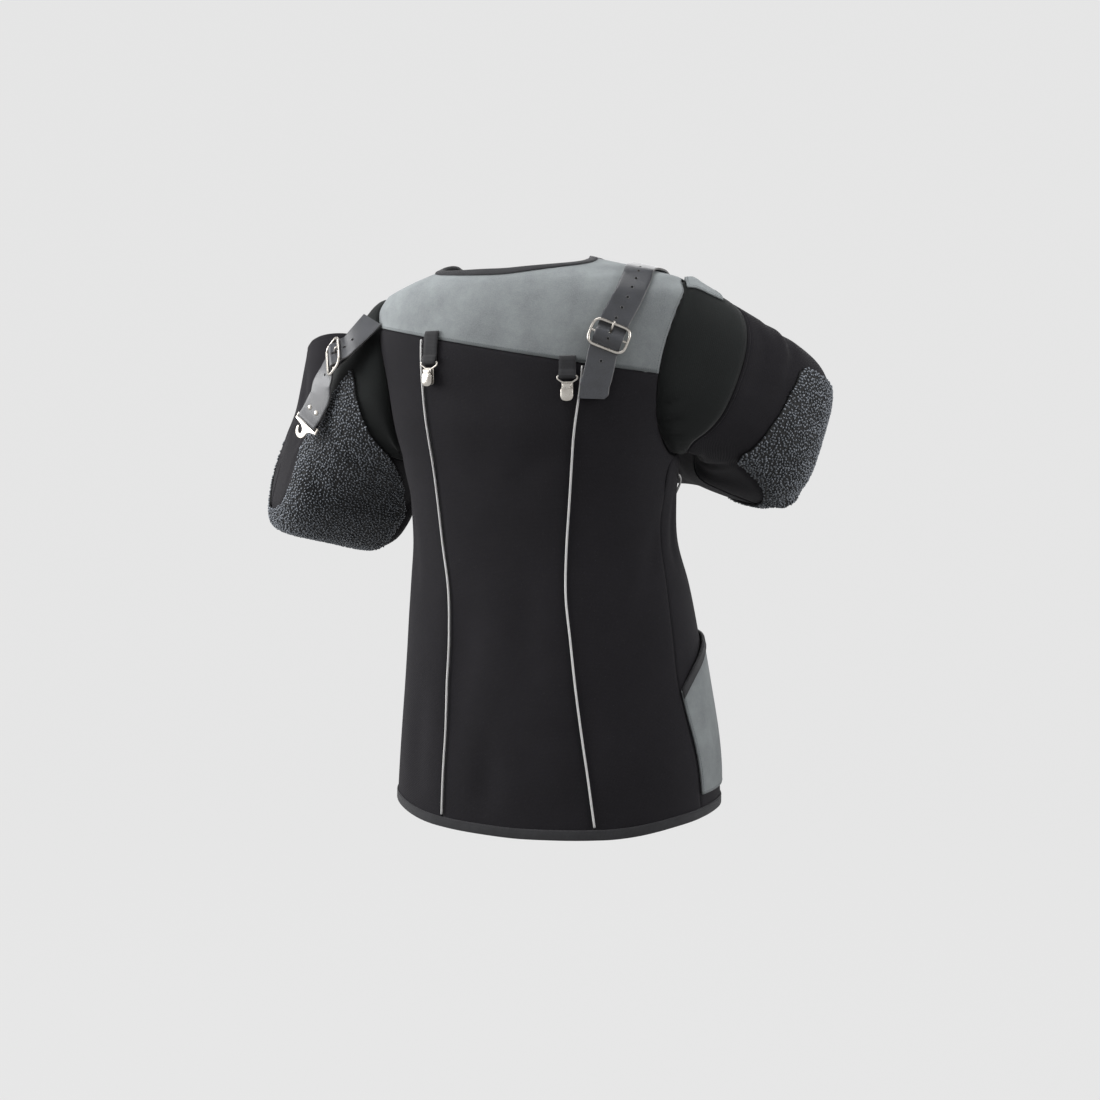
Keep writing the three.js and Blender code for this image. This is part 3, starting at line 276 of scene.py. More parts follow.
def raw_edge_material():
    made, tree, shader = new_material("raw_leather_edge", Roughness=0.9)
    place = object_place(tree)
    fibres = texture_noise(tree, place, 700, 4)
    tree.links.new(blend_colours(tree, fibres, "#5a595d", "#9a9896"), shader.inputs["Base Color"])
    bumped(tree, shader, fibres, 0.4, 0.3)
    return made


LEATHER = leather_material()
RAW_EDGE = raw_edge_material()
print("made", LEATHER.name, RAW_EDGE.name)

# %% [markdown]
# ## Rubber, nickel and button
# The elbow grip is moulded black rubber. Its ground is painted darker still, as painted shade between the
# pebbles, and the pebbles are painted pale all over, as painted highlights. The metal is nickel plate on
# steel, bright with hair scratches. The buttons are cast polyester with a soft gloss.


# %% Rubber, nickel and button
def rubber_material(name, low, high, roughness):
    made, tree, shader = new_material(name, Roughness=roughness)
    place = object_place(tree)
    spots = spread(tree, texture_noise(tree, place, 160, 5), 0.35, 0.68)
    tree.links.new(blend_colours(tree, spots, low, high), shader.inputs["Base Color"])
    bumped(tree, shader, texture_noise(tree, place, 1500, 3), 0.35, 0.2)
    return made


def nickel_material():
    made, tree, shader = new_material("nickel_plated_steel", Metallic=1.0)
    place = object_place(tree)
    stretched = add_node(tree, "ShaderNodeMapping", {"Vector": place, "Scale": (1, 1, 9)}).outputs[0]
    hairs = texture_noise(tree, stretched, 500, 6)
    cloud = texture_noise(tree, place, 90, 3)
    tree.links.new(blend_colours(tree, cloud, "#98928a", "#d0ccc6"), shader.inputs["Base Color"])
    tree.links.new(spread(tree, hairs, 0.3, 0.7, 0.2, 0.38), shader.inputs["Roughness"])
    bumped(tree, shader, hairs, 0.06, 0.1)
    return made


# Near black, darker than the rubber itself: painted shade between the pebbles, and on the walls of the straps'
# holes.
RUBBER_WITH_PAINTED_SHADE = rubber_material("rubber_ground_with_painted_shade", "#08080a", "#141517", 0.8)
# Pale grey over each whole pebble: a painted highlight.
PEBBLE_PAINTED_HIGHLIGHT = rubber_material("rubber_pebbles_painted_highlight", "#6b7077", "#a3a9b2", 0.5)
NICKEL = nickel_material()
BUTTON = rubber_material("polyester_button", "#141416", "#26262a", 0.28)
print("made", RUBBER_WITH_PAINTED_SHADE.name, PEBBLE_PAINTED_HIGHLIGHT.name, NICKEL.name, BUTTON.name)

# %% [markdown]
# ## Reading the cloth from the frame
# A sewn panel in the frame is a thin solid with an outer and an inner side. Its outer side is a net of points
# in rows and columns, cut into triangles. Walking from one border row to the next finds the net again, and a
# net is the best start for smooth cloth: curves through its points need no guessing.


# %% Outer side and border of a solid
def merged(node):
    """A CAD node's loose triangles, merged into one skin."""
    bm = bmesh.new()
    bm.from_mesh(frame["nodes"][node].data)
    bmesh.ops.remove_doubles(bm, verts=bm.verts, dist=0.01 * MM)
    bm.verts.index_update()
    bm.faces.index_update()
    return bm


def connected(faces, joins):
    """Splits faces into groups that hang together over the edges that joins accepts."""
    allowed, groups = set(faces), []
    seen = set()
    for start in faces:
        if start in seen:
            continue
        seen.add(start)
        group, waiting = [], [start]
        while waiting:
            face = waiting.pop()
            group.append(face)
            for edge in face.edges:
                if joins(edge):
                    for other in edge.link_faces:
                        if other in allowed and other not in seen:
                            seen.add(other)
                            waiting.append(other)
        groups.append(group)
    return groups


def looks_outward(faces, centre):
    """How far a group of faces looks away from a place. It is larger for the outer side of a solid."""
    return sum((f.calc_center_median() - centre).dot(f.normal) * f.calc_area() for f in faces)


def outer_side(node, thickness_mm):
    """A merged CAD node and its outer side's faces. A face of its rim has an edge as long as it is thick."""
    bm = merged(node)
    limit = thickness_mm * MM

    def on_rim(face):
        return any(abs(edge.calc_length() - limit) < 0.03 * limit for edge in face.edges)

    sides = connected([f for f in bm.faces if not on_rim(f)], lambda edge: True)
    sides = sorted(sides, key=len, reverse=True)[:2]
    centre = sum((v.co for v in bm.verts), Vector()) / len(bm.verts)
    if not node.startswith("sleeve"):
        centre = Vector((0, 0, centre.z - 0.05))

    return bm, max(sides, key=lambda side: looks_outward(side, centre))


def smooth_groups(bm, degrees):
    """Groups of faces that turn by less than an angle from each face to the next."""
    limit = math.radians(degrees)
    return connected(list(bm.faces), lambda e: len(e.link_faces) == 2 and e.calc_face_angle() < limit)


def total_area(faces):
    return sum(f.calc_area() for f in faces)


def border_loops(faces):
    """The borders of a group of faces, longest first, each as vertices in order."""
    inside, beside = set(faces), {}
    for face in faces:
        for edge in face.edges:
            if sum(other in inside for other in edge.link_faces) == 1:
                a, b = edge.verts
                beside.setdefault(a, []).append(b)
                beside.setdefault(b, []).append(a)
    loops = []
    while beside:
        loop = [min(beside, key=lambda v: v.index)]
        while True:
            onward = [v for v in beside[loop[-1]] if v not in loop[-2:]]
            if len(loop) > 2 and loop[0] in beside[loop[-1]]:
                break
            loop.append(onward[0])
        for v in loop:
            beside.pop(v, None)
        loops.append(loop)
    return sorted(loops, key=len, reverse=True)


def neighbours(faces):
    """For each vertex of a group of faces, the vertices that it shares an edge with there."""
    near = {}
    for face in faces:
        for edge in face.edges:
            a, b = edge.verts
            near.setdefault(a, set()).add(b)
            near.setdefault(b, set()).add(a)
    return near


# %% Rows and columns of a panel
def rows_from(loop, start, columns, near):
    """The net's rows, if the border's row that begins at start is one of its ends, or else None."""
    n = len(loop)
    row = [loop[(start + i) % n] for i in range(columns + 1)]
    rows, used = [row], set(row)
    for k in range(1, n // 2 - columns + 1):
        found = {w for v in rows[-1] for w in near[v]} - used
        first, last = loop[(start - k) % n], loop[(start + columns + k) % n]
        if len(found) != columns + 1 or first not in found or last not in found:
            return None
        row = [first]
        while len(row) <= columns:
            onward = [w for w in near[row[-1]] if w in found and w not in row]
            if len(onward) != 1:
                return None
            row.append(onward[0])
        if row[-1] is not last:
            return None
        rows.append(row)
        used |= found
    return rows


def panel_net(node, columns, thickness_mm=2.0):
    """A panel's outer net as an array of rows, columns and x, y, z, with its lowest row first."""
    bm, faces = outer_side(node, thickness_mm)
    near = neighbours(faces)
    loop = border_loops(faces)[0]
    nets = [rows_from(loop, s, columns, near) for s in range(len(loop))]
    arrays = [np.array([[v.co for v in row] for row in net]) for net in nets if net]
    if not arrays:
        raise ValueError(f"{node} has no net with {columns} columns, its border has {len(loop)} points")
    bm.free()
    return min(arrays, key=lambda a: a[0, :, 2].mean())


def tube_net(node, thickness_mm=2.0):
    """A sleeve piece's outer net, whose rows are rings, with the ring nearest to the body first."""
    bm, faces = outer_side(node, thickness_mm)
    near = neighbours(faces)
    row = min(border_loops(faces)[:2], key=lambda ring: abs(sum(v.co.x for v in ring)))
    rows, used = [row], set(row)
    while True:
        found = {w for v in rows[-1] for w in near[v]} - used
        if not found:
            break
        ring = [min(found, key=lambda v: v.index)]
        while len(ring) < len(found):
            onward = [w for w in near[ring[-1]] if w in found and w not in ring]
            ring.append(min(onward, key=lambda v: v.index))
        turned = [ring[k:] + ring[:k] for k in range(len(ring))]
        turned += [list(reversed(r)) for r in turned]
        rows.append(min(turned, key=lambda r: sum((a.co - b.co).length for a, b in zip(r, rows[-1]))))
        used |= found
    net = np.array([[v.co for v in r] for r in rows])
    bm.free()
    return net


# %% [markdown]
# ## From a coarse net to smooth cloth
# A cubic curve through each row of points, and then through each column, gives a fine surface that still
# passes through every point of the frame. Finer steps cost triangles, so the step is chosen for each piece.


# %% Refine a net
def refined(net, step, closed=False):
    """Points every step along the net's first axis, on smooth curves through the net's own points."""
    p = np.concatenate([net[-2:], net, net[:3]]) if closed else net
    gap = np.maximum(np.linalg.norm(np.diff(p[..., :3], axis=0), axis=2).mean(1), 1e-6)
    slope = np.diff(p, axis=0) / gap[:, None, None]
    before, after = gap[:-1, None, None], gap[1:, None, None]
    m = np.empty_like(p)
    m[1:-1] = (slope[:-1] * after + slope[1:] * before) / (before + after)
    m[0] = 2 * slope[0] - m[1]
    m[-1] = 2 * slope[-1] - m[-2]
    cells = range(2, 2 + len(net)) if closed else range(len(net) - 1)
    lines = []
    for i in cells:
        count = max(1, round(gap[i] / step))
        for t in np.arange(count) / count:
            a, b = 2 * t**3 - 3 * t**2 + 1, t**3 - 2 * t**2 + t
            c, d = 3 * t**2 - 2 * t**3, t**3 - t**2
            lines.append(a * p[i] + b * gap[i] * m[i] + c * p[i + 1] + d * gap[i] * m[i + 1])
    if not closed:
        lines.append(net[-1])
    return np.array(lines)


def fine_net(net, step, closed=False):
    """A net refined along its columns and then along its rows. closed is for rows that are rings."""
    tall = refined(net, step)
    return refined(tall.transpose(1, 0, 2), step, closed).transpose(1, 0, 2)


def lengths(net, axis):
    """How far each point lies along its row (axis 1) or column (axis 0), in metres."""
    hops = np.linalg.norm(np.diff(net, axis=axis), axis=2)
    start = np.zeros_like(net[:1, :, 0] if axis == 0 else net[:, :1, 0])
    return np.concatenate([start, np.cumsum(hops, axis=axis)], axis=axis)


def run_lengths(points):
    """How far each point of a line lies along it, in metres."""
    return np.concatenate([[0], np.cumsum(np.linalg.norm(np.diff(points, axis=0), axis=1))])


def unit(vectors):
    """Each vector at length one."""
    vectors = np.asarray(vectors, float)
    return vectors / np.linalg.norm(vectors, axis=-1, keepdims=True)


def nearest_to(points, spot):
    """The number of the point nearest to a spot."""
    return int(np.argmin(np.linalg.norm(points - spot, axis=1)))


def net_normals(net, middle, closed=False):
    """Unit normals of a net, pointing away from its middle line, one point for each row."""
    along = np.gradient(net, axis=0)
    if closed:
        across = np.roll(net, -1, axis=1) - np.roll(net, 1, axis=1)
    else:
        across = np.gradient(net, axis=1)
    normals = np.cross(across, along)
    normals /= np.maximum(np.linalg.norm(normals, axis=2, keepdims=True), 1e-12)
    side = np.sum(normals * (net - middle[:, None, :]))
    return normals if side > 0 else -normals


# %% [markdown]
# ## Folds
# Stiff canvas makes few folds, broad and soft: slack above the waist, drapes to the hem, and short creases
# where the sleeves meet the body and bend at the elbow. A cloth simulation would sag the whole stiff form, so
# each fold is placed as a trough with a low lip on both sides. Its line, width and depth are uneven
# on purpose. A fold moves every layer that lies there, so tapes and pockets stay on their cloth.


# %% Fold helpers
def fold_line(start, middle, end, steps=18):
    """Points on a bent line from start to end, which passes near middle. Given in mm."""
    a, b, c = (np.array(p, float) * MM for p in (start, middle, end))
    t = np.linspace(0, 1, steps)[:, None]
    control = 2 * b - (a + c) / 2
    return (1 - t) ** 2 * a + 2 * t * (1 - t) * control + t**2 * c


def fold_depth(points, folds):
    """How far each point moves outward, in metres: troughs are negative, ridges positive."""
    flat = points.reshape(-1, 3)
    moved = np.zeros(len(flat))
    for start, middle, end, width, depth in folds:
        line = fold_line(start, middle, end)
        reach = 3 * width * MM
        low, high = line.min(0) - reach, line.max(0) + reach
        near = np.where(np.all((flat > low) & (flat < high), axis=1))[0]
        if not len(near):
            continue
        p = flat[near]
        best, where = np.full(len(near), 1e9), np.zeros(len(near))
        for i in range(len(line) - 1):
            a, d = line[i], line[i + 1] - line[i]
            t = np.clip((p - a) @ d / (d @ d), 0, 1)
            gap = np.linalg.norm(p - a - t[:, None] * d, axis=1)
            closer = gap < best
            best[closer], where[closer] = gap[closer], (i + t[closer]) / (len(line) - 1)
        r = (best / (width * MM)) ** 2
        fade = np.sin(np.pi * np.clip(where * 0.96 + 0.02, 0, 1)) ** 0.8  # a fold runs out at both ends
        moved[near] += depth * MM * fade * (1 - 0.8 * r) * np.exp(-r)
    return moved.reshape(points.shape[:-1])


def slack(points, size_mm, depth_mm, seed):
    """Slow random unevenness of a stiff cloth, always inward, up to depth."""
    flat = points.reshape(-1, 3)
    shift = Vector((seed * 3.7, seed * 1.3, seed * 5.1))
    found = [noise.noise(Vector(p) / (size_mm * MM) + shift) for p in flat]
    return -(np.clip(np.array(found) + 0.45, 0, 1) * depth_mm * MM).reshape(points.shape[:-1])


TRUNK_MIDDLE, TRUNK_HALF = np.array([-0.012, 0.0]), np.array([0.19, 0.11])


def out_of_trunk(points):
    """The level direction away from the body's middle, for an oval trunk."""
    flat = (points[..., :2] - TRUNK_MIDDLE) / TRUNK_HALF**2
    flat = flat / np.maximum(np.linalg.norm(flat, axis=-1, keepdims=True), 1e-9)
    return np.concatenate([flat, np.zeros(points.shape[:-1] + (1,))], axis=-1)


# Each fold is start, middle, end, half width and depth, all in mm. Behind is +Y, the wearer's left is +X.
BODY_FOLDS = [
    ((60, 128, -330), (52, 120, -430), (66, 130, -560), 30, -3.2),
    ((-40, 130, -300), (-30, 128, -400), (-46, 135, -470), 26, -2.4),
    ((20, 130, -520), (12, 134, -580), (22, 140, -625), 22, -2.6),
    ((-95, 110, -470), (-104, 118, -560), (-98, 122, -625), 24, -3.0),
    ((110, 100, -480), (118, 104, -560), (112, 108, -620), 22, -2.6),
    ((-175, 20, -260), (-160, 50, -330), (-150, 60, -400), 16, -3.2),
    ((-182, -20, -235), (-178, 0, -290), (-174, 10, -350), 12, -2.6),
    ((165, 30, -230), (150, 60, -300), (135, 74, -380), 16, -3.2),
    ((175, -10, -240), (166, 10, -300), (160, 20, -360), 12, -2.4),
    ((150, -60, -240), (125, -90, -300), (95, -112, -350), 15, -3.4),
    ((-150, -60, -240), (-122, -92, -300), (-92, -112, -360), 15, -3.0),
    ((60, -115, -330), (68, -120, -440), (60, -128, -560), 24, -3.0),
    ((-62, -112, -300), (-70, -112, -370), (-64, -118, -410), 22, -2.4),
    ((110, -95, -400), (128, -84, -500), (122, -90, -600), 20, -3.4),
    ((-60, 118, -180), (-30, 122, -230), (10, 124, -250), 26, -1.8),
    ((85, 110, -190), (70, 118, -240), (30, 122, -270), 22, -1.6),
]


def folded_body(points, seed=3):
    """Points on or near the body, moved by its folds and its slack."""
    depth = fold_depth(points, BODY_FOLDS) + slack(points, 85, 1.1, seed)
    low = np.clip((0.02 - points[..., 2]) / 0.13, 0, 1)  # nothing moves on top of the shoulders
    return points + out_of_trunk(points) * (depth * low)[..., None]


print(len(BODY_FOLDS), "folds in the body")

# %% [markdown]
# ## Sewn panels
# Each panel becomes a sheet on its fine net. Near a seam the cloth rolls inward, where the stitching pulls it
# down, and a Solidify modifier gives it its real thickness, inward, so the outer face stays where it is. The
# UV map holds real metres, so that the weave has the same size everywhere.


# %% Making a sheet of cloth
def linked(name, data):
    """A new object in the scene for a mesh or a light."""
    obj = bpy.data.objects.new(name, data)
    bpy.context.scene.collection.objects.link(obj)
    return obj


def new_object(name, vertices, faces, materials):
    mesh = bpy.data.meshes.new(name)
    mesh.from_pydata([tuple(v) for v in vertices], [], [tuple(int(i) for i in f) for f in faces])
    for one in materials:
        mesh.materials.append(one)
    mesh.update()
    mesh.shade_smooth()
    return linked(name, mesh)


def declare(obj, slot, *nodes, body="jacket"):
    """Hides the CAD nodes that a piece stands for and hangs the piece on the body that it rides on. slot is
    not used.
    """
    if nodes:
        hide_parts(*nodes)
    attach(obj, body)


def faces_outward(obj):
    """Turns the faces of a closed mesh outward."""
    bm = bmesh.new()
    bm.from_mesh(obj.data)
    bmesh.ops.recalc_face_normals(bm, faces=bm.faces[:])
    bm.to_mesh(obj.data)
    bm.free()


def net_faces(rows, columns, closed):
    """The quads of a net, as vertex numbers."""
    faces = []
    for i in range(rows - 1):
        for j in range(columns if closed else columns - 1):
            k = (j + 1) % columns
            faces.append((i * columns + j, i * columns + k, (i + 1) * columns + k, (i + 1) * columns + j))
    return faces


def give_uv(mesh, values):
    """Writes one UV per face corner, from a list of (u, v) per vertex, in metres."""
    layer = mesh.uv_layers.new(name="cloth")
    corner = np.empty(len(mesh.loops), int)
    mesh.loops.foreach_get("vertex_index", corner)
    layer.data.foreach_set("uv", np.asarray(values, np.float32)[corner].ravel())


def make_thick(obj, thickness_mm):
    """Gives a sheet its thickness, inward, so that its outer face stays where it is."""
    thick = obj.modifiers.new("thickness", "SOLIDIFY")
    thick.thickness, thick.offset = thickness_mm * MM, -1


def cloth_sheet(name, net, normals, material, thickness_mm, closed=False):
    """A sheet on a net, made thick inward."""
    rows, columns = net.shape[:2]
    faces = net_faces(rows, columns, closed)
    a, b, c, d = (net.reshape(-1, 3)[[f[k] for f in faces]] for k in range(4))
    facing = np.sum(np.cross(c - a, d - b) * normals.reshape(-1, 3)[[f[0] for f in faces]])
    if facing < 0:
        faces = [tuple(reversed(f)) for f in faces]
    obj = new_object(name, net.reshape(-1, 3), faces, [material])
    u = lengths(net, 1).mean(0)
    v = lengths(net, 0).mean(1)
    grid = np.stack(np.meshgrid(u, v), axis=-1).reshape(-1, 2)
    give_uv(obj.data, grid)
    if closed:  # the last quad of a ring would run back to 0, so its far corners get the whole round
        hop = float(np.linalg.norm(net[:, 0] - net[:, -1], axis=1).mean())
        layer = obj.data.uv_layers["cloth"].data
        for face in obj.data.polygons:
            spots = [layer[i].uv for i in face.loop_indices]
            if max(s.x for s in spots) - min(s.x for s in spots) > u[-1] / 2:
                for s in spots:
                    if s.x < u[-1] / 2:
                        s.x = u[-1] + hop
    make_thick(obj, thickness_mm)
    return obj


def declare_sheet(obj, net, closed=False):
    """Prints the size that a sheet of cloth was cut to."""
    across, along = lengths(net, 1)[:, -1], lengths(net, 0)[-1]
    if closed:
        across = across + np.linalg.norm(net[:, 0] - net[:, -1], axis=1)
    a = net[:-1, :-1] - net[1:, 1:]
    b = net[:-1, 1:] - net[1:, :-1]
    area = float(np.linalg.norm(np.cross(a, b), axis=2).sum() / 2)
    if closed:
        area *= 1 + 1 / (net.shape[1] - 1)
    width, length = float(across.max()), float(along.max())
    area = min(area, width * length)
    print(f"{obj.name}: cut {width * 1000:.0f} x {length * 1000:.0f} mm, {area * 1e4:.0f} square cm")


def seam_roll(net, depth_mm, width_mm, closed=False, sides=("low", "high", "first", "last")):
    """How far the cloth sinks near its sewn borders, 0 to -depth."""
    along, across = lengths(net, 0), lengths(net, 1)
    gaps = {"low": along, "high": along[-1:] - along, "first": across, "last": across[:, -1:] - across}
    if closed:
        sides = [s for s in sides if s in ("low", "high")]
    near = np.min([gaps[s] for s in sides], axis=0) / (width_mm * MM)
    return -depth_mm * MM * np.exp(-near**2)


# %% [markdown]
# ### The body's panels
# Three back panels, two fronts, the yoke and the two shoulder patches. A maker cuts each flat and sews them
# edge to edge. The frame has their real outlines, so only their net is read here and made soft.

# %% Body panels
CLOTH_THICK, CLOTH_STEP = 2.0, 4.2
BODY_SEAM = (0.9, 3.2)  # how deep the cloth sinks at a sewn border, and how far in
PANELS = [
    # node, columns in the frame, material, slot, sewn sides
    ("back_centre", 6, CANVAS, "canvas", ("first", "last", "high")),
    ("back_side_left", 6, CANVAS, "canvas", ("first", "last", "high")),
    ("back_side_right", 6, CANVAS, "canvas", ("first", "last", "high")),
    ("front_left", 8, CANVAS, "canvas", ("first", "last", "high")),
    ("front_right", 8, CANVAS, "canvas", ("first", "last", "high")),
    ("yoke", 18, SUEDE, "suede", ("first", "last")),
    ("shoulder_patch_left", 8, SUEDE, "suede", ("first", "last")),
    ("shoulder_patch_right", 8, SUEDE, "suede", ("first", "last")),
]
cloth = {}
SEAM_LAP = 0.3 * MM


def meet_neighbours(net, widest_mm=4):
    """Draws a net's side borders up to the cloth already made beside it, so that hardly any light gets in."""
    built = [piece["net"][:, side] for piece in cloth.values() for side in (0, -1)]
    built += [piece["net"][end] for piece in cloth.values() for end in (0, -1)]
    if not built:
        return net
    built, net = np.concatenate(built), net.copy()
    for side, inner in ((0, 1), (-1, -2)):
        outward = unit(net[:, side] - net[:, inner])
        for row, spot in enumerate(net[:, side]):
            away = built - spot
            nearest = away[nearest_to(built, spot)]
            if np.linalg.norm(nearest) < (widest_mm + CLOTH_THICK) * MM:
                gap = float(np.clip(nearest @ outward[row], 0, widest_mm * MM))
                net[row, side] = spot + outward[row] * (gap + SEAM_LAP)
    return net


def make_panel(node, columns, material, slot, sewn, step_mm, seam_mm, drop, join):
    """Makes a panel on its folded net. drop lowers the middle that its outer side looks away from."""
    flat_net = fine_net(panel_net(node, columns), step_mm * MM)
    middle = np.zeros((len(flat_net), 3))
    middle[:, 2] = flat_net[:, :, 2].mean(1) - drop
    rolled = net_normals(flat_net, middle) * seam_roll(flat_net, *seam_mm, sides=sewn)[..., None]
    net = join(folded_body(flat_net) + rolled)
    normals = net_normals(net, middle)
    obj = cloth_sheet(node + "_cloth", net, normals, material, CLOTH_THICK)
    declare(obj, slot, node)
    cloth[node] = {"net": net, "normals": normals}
    return obj, flat_net


for node, columns, material, slot, sewn in PANELS:
    on_top = 0.05 if slot == "suede" else 0  # the suede lies over the shoulders, so it looks up as well
    obj, flat_net = make_panel(
        node, columns, material, slot, sewn, CLOTH_STEP, BODY_SEAM, on_top, meet_neighbours
    )
    declare_sheet(obj, flat_net)

# %% [markdown]
# ### The sleeves
# Each sleeve is three tubes: a soft cap on the armhole, the upper sleeve to the elbow, and the lower one to
# the cuff. A ring of points closes on itself, so the net has no side borders and only its two ends are sewn.

# %% Sleeves
# The first folds are the puckers under the arm, then waves round the upper sleeve, creases in the elbow's
# bend and below the pad, and last a ridge that keeps the elbow's corner crisp. The right sleeve comes first.
SLEEVE_FOLDS = [
    ((-174, 55, -149), (-183, 56, -143), (-201, 49, -134), 4.5, -4),
    ((-174, 49, -167), (-184, 50, -164), (-202, 43, -159), 4.5, -5),
    ((-176, 40, -182), (-184, 40, -183), (-199, 34, -180), 4, -4),
    ((-261, -37, -44), (-279, -29, -84), (-264, -3, -136), 14, -3),
    ((-273, -84, -48), (-297, -62, -80), (-285, -27, -146), 12, 2.5),
    ((-277, -103, -53), (-300, -79, -74), (-300, -48, -118), 11, -3),
    ((-229, -83, -30), (-256, -82, -39), (-278, -72, -52), 9, -2.5),
    ((-233, -43, -215), (-192, -78, -215), (-173, -113, -172), 9, -6),
    ((-208, -12, -205), (-185, -57, -200), (-166, -90, -165), 8, -5),
    ((-182, -119, -75), (-205, -139, -65), (-226, -157, -64), 12, -4),
    ((-179, -152, -116), (-156, -182, -107), (-131, -209, -111), 12, -4),
    ((-213, -252, -117), (-219, -268, -156), (-215, -244, -224), 12, -3),
    ((-145, -156, -232), (-123, -162, -194), (-142, -174, -131), 12, -4),
    ((-241, -42, -214), (-255, -78, -233), (-266, -122, -257), 6, -5),
    ((-290, -169, -248), (-279, -160, -261), (-266, -151, -266), 13, 8),
    ((293, 20, -155), (328, -9, -185), (359, -17, -252), 7, -4),
    ((347, -8, -246), (362, -19, -266), (372, -29, -281), 4.5, -5),
    ((213, -75, -275), (228, -91, -304), (258, -110, -327), 7, -6),
    ((197, -76, -247), (215, -95, -286), (255, -128, -325), 8, 3),
    ((239, 35, -196), (236, 26, -210), (199, 9, -216), 12, -3),
    ((292, 12, -222), (299, 4, -251), (286, -10, -267), 18, -3),
    ((223, -3, -234), (236, -28, -260), (280, -22, -278), 16, -2.5),
    ((230, -150, -213), (250, -169, -201), (273, -153, -187), 9, -6),
    ((188, -106, -196), (224, -136, -174), (257, -125, -149), 9, -5),
    ((427, -164, -166), (424, -197, -167), (393, -229, -193), 12, -3.5),
    ((385, -106, -157), (396, -138, -124), (403, -162, -88), 10, -3),
    ((282, -195, -188), (290, -171, -153), (330, -123, -149), 12, -4),
    ((303, -9, -123), (329, -20, -160), (353, -30, -199), 12, -3),
    ((379, -61, -186), (418, -103, -220), (405, -134, -148), 10, -3),
    ((410, -72, -289), (410, -89, -301), (356, -124, -323), 13, 7),
]
SLEEVE_STEP, ARMHOLE_GAP, SLEEVE_SEAM = 4.5 * MM, 8, (1.1, 3.4)
SLACK_SEED = {"left": 8, "right": 11}
sleeve_guides = {}
for side in ("left", "right"):
    guide_points, guide_normals = [], []
    for part in ("cap", "upper", "fore"):
        node = f"sleeve_{side}_{part}"
        flat_net = fine_net(tube_net(node), SLEEVE_STEP, closed=True)
        normals = net_normals(flat_net, flat_net.mean(1), closed=True)
        depth = fold_depth(flat_net, SLEEVE_FOLDS) + slack(flat_net, 60, 1.2, SLACK_SEED[side])
        moved = flat_net + normals * depth[..., None]
        guide_points.append(moved.reshape(-1, 3))
        guide_normals.append(net_normals(moved, moved.mean(1), closed=True).reshape(-1, 3))
        sewn = {"cap": ("low", "high"), "upper": ("low", "high"), "fore": ("low",)}[part]
        depth = depth + seam_roll(flat_net, *SLEEVE_SEAM, closed=True, sides=sewn)
        net = flat_net + normals * depth[..., None]
        if part == "cap":
            net = meet_neighbours(net.swapaxes(0, 1), ARMHOLE_GAP).swapaxes(0, 1)
        normals = net_normals(net, net.mean(1), closed=True)
        material, slot = (SOFT_CLOTH, "shoulder_cloth") if part == "cap" else (CANVAS, "canvas")
        obj = cloth_sheet(node + "_cloth", net, normals, material, CLOTH_THICK, closed=True)
        declare(obj, slot, node)
        declare_sheet(obj, flat_net, closed=True)
        cloth[node] = {"net": net, "normals": normals}
    sleeve_guides[side] = (np.concatenate(guide_points), np.concatenate(guide_normals))

# %% [markdown]
# ### Elbow pads and the suede on the right sleeve head
# A pad is a sheet of rubber glued and sewn on the elbow. The right shoulder patch runs out over the sleeve
# head in the same way. Their outlines in the frame are exact but their faces are large, so they are split
# until hardly an edge is longer than 3.2 mm, and each point is set on the fine, folded sleeve.


# %% Elbow pads
def search_tree(spots):
    """A search tree that finds the points nearest to a place."""
    tree = KDTree(len(spots))
    for i, spot in enumerate(spots):
        tree.insert(spot, i)
    tree.balance()
    return tree


BLEND = 0.8 * MM  # how softly the nearest sleeve points share their say


def set_on_sleeve(points, side, lift_mm):
    """Moves points onto a sleeve, lifted off it."""
    spots, normals = sleeve_guides[side]
    tree = search_tree(spots)
    placed = []
    for point in points:
        near = tree.find_n(point, 6)
        weights = np.array([1 / (gap + BLEND) ** 2 for _, _, gap in near])
        index = [i for _, i, _ in near]
        normal = unit((normals[index] * weights[:, None]).sum(0))
        offset = ((spots[index] - point) @ normal * weights).sum() / weights.sum()
        placed.append(np.array(point) + normal * (offset + lift_mm * MM))
    return np.array(placed)


def edge_line(bm, inset_mm):
    """The border of a skin, moved inward by some distance, with the skin's normals there."""
    bm.normal_update()
    loop, seen = [next(v for v in bm.verts if v.is_boundary)], set()
    while loop[-1] not in seen:
        seen.add(loop[-1])
        onward = [e.other_vert(loop[-1]) for e in loop[-1].link_edges if e.is_boundary]
        loop += [v for v in onward if v not in seen][:1]
    spots = np.array([v.co for v in loop])
    normals = np.array([v.normal for v in loop])
    ways = np.roll(spots, -1, axis=0) - np.roll(spots, 1, axis=0)
    inward = np.cross(normals, ways)
    inward /= np.maximum(np.linalg.norm(inward, axis=1, keepdims=True), 1e-9)
    centre = spots.mean(0)
    if np.sum(inward * (centre - spots)) < 0:
        inward = -inward
    moved = spots + inward * inset_mm * MM + normals * 0.12 * MM
    for _ in range(2):
        moved = (np.roll(moved, 1, axis=0) + 2 * moved + np.roll(moved, -1, axis=0)) / 4
    return np.concatenate([moved, moved[:1]]), np.concatenate([normals, normals[:1]])


PAD_STEP, SPLITS = 3.2 * MM, 7
# The overlap is drawn to this height over the patch's cloth, from this far away, and this strongly.
SUEDE_LIFT, REACH, PULL = 1.6 * MM, 16 * MM, 1.7


def reach_yoke(bm):
    """Draws the overlap's inner edge onto the patch beside it, so that less of the cap shows there."""
    patch = cloth["shoulder_patch_right"]
    near = search_tree((patch["net"] + patch["normals"] * SUEDE_LIFT)[2:-2, 2:-2].reshape(-1, 3))
    for v in bm.verts:
        goal, _, far = near.find(v.co)
        if far < REACH:
            v.co = v.co.lerp(goal, min(1, PULL * (1 - far / REACH)))


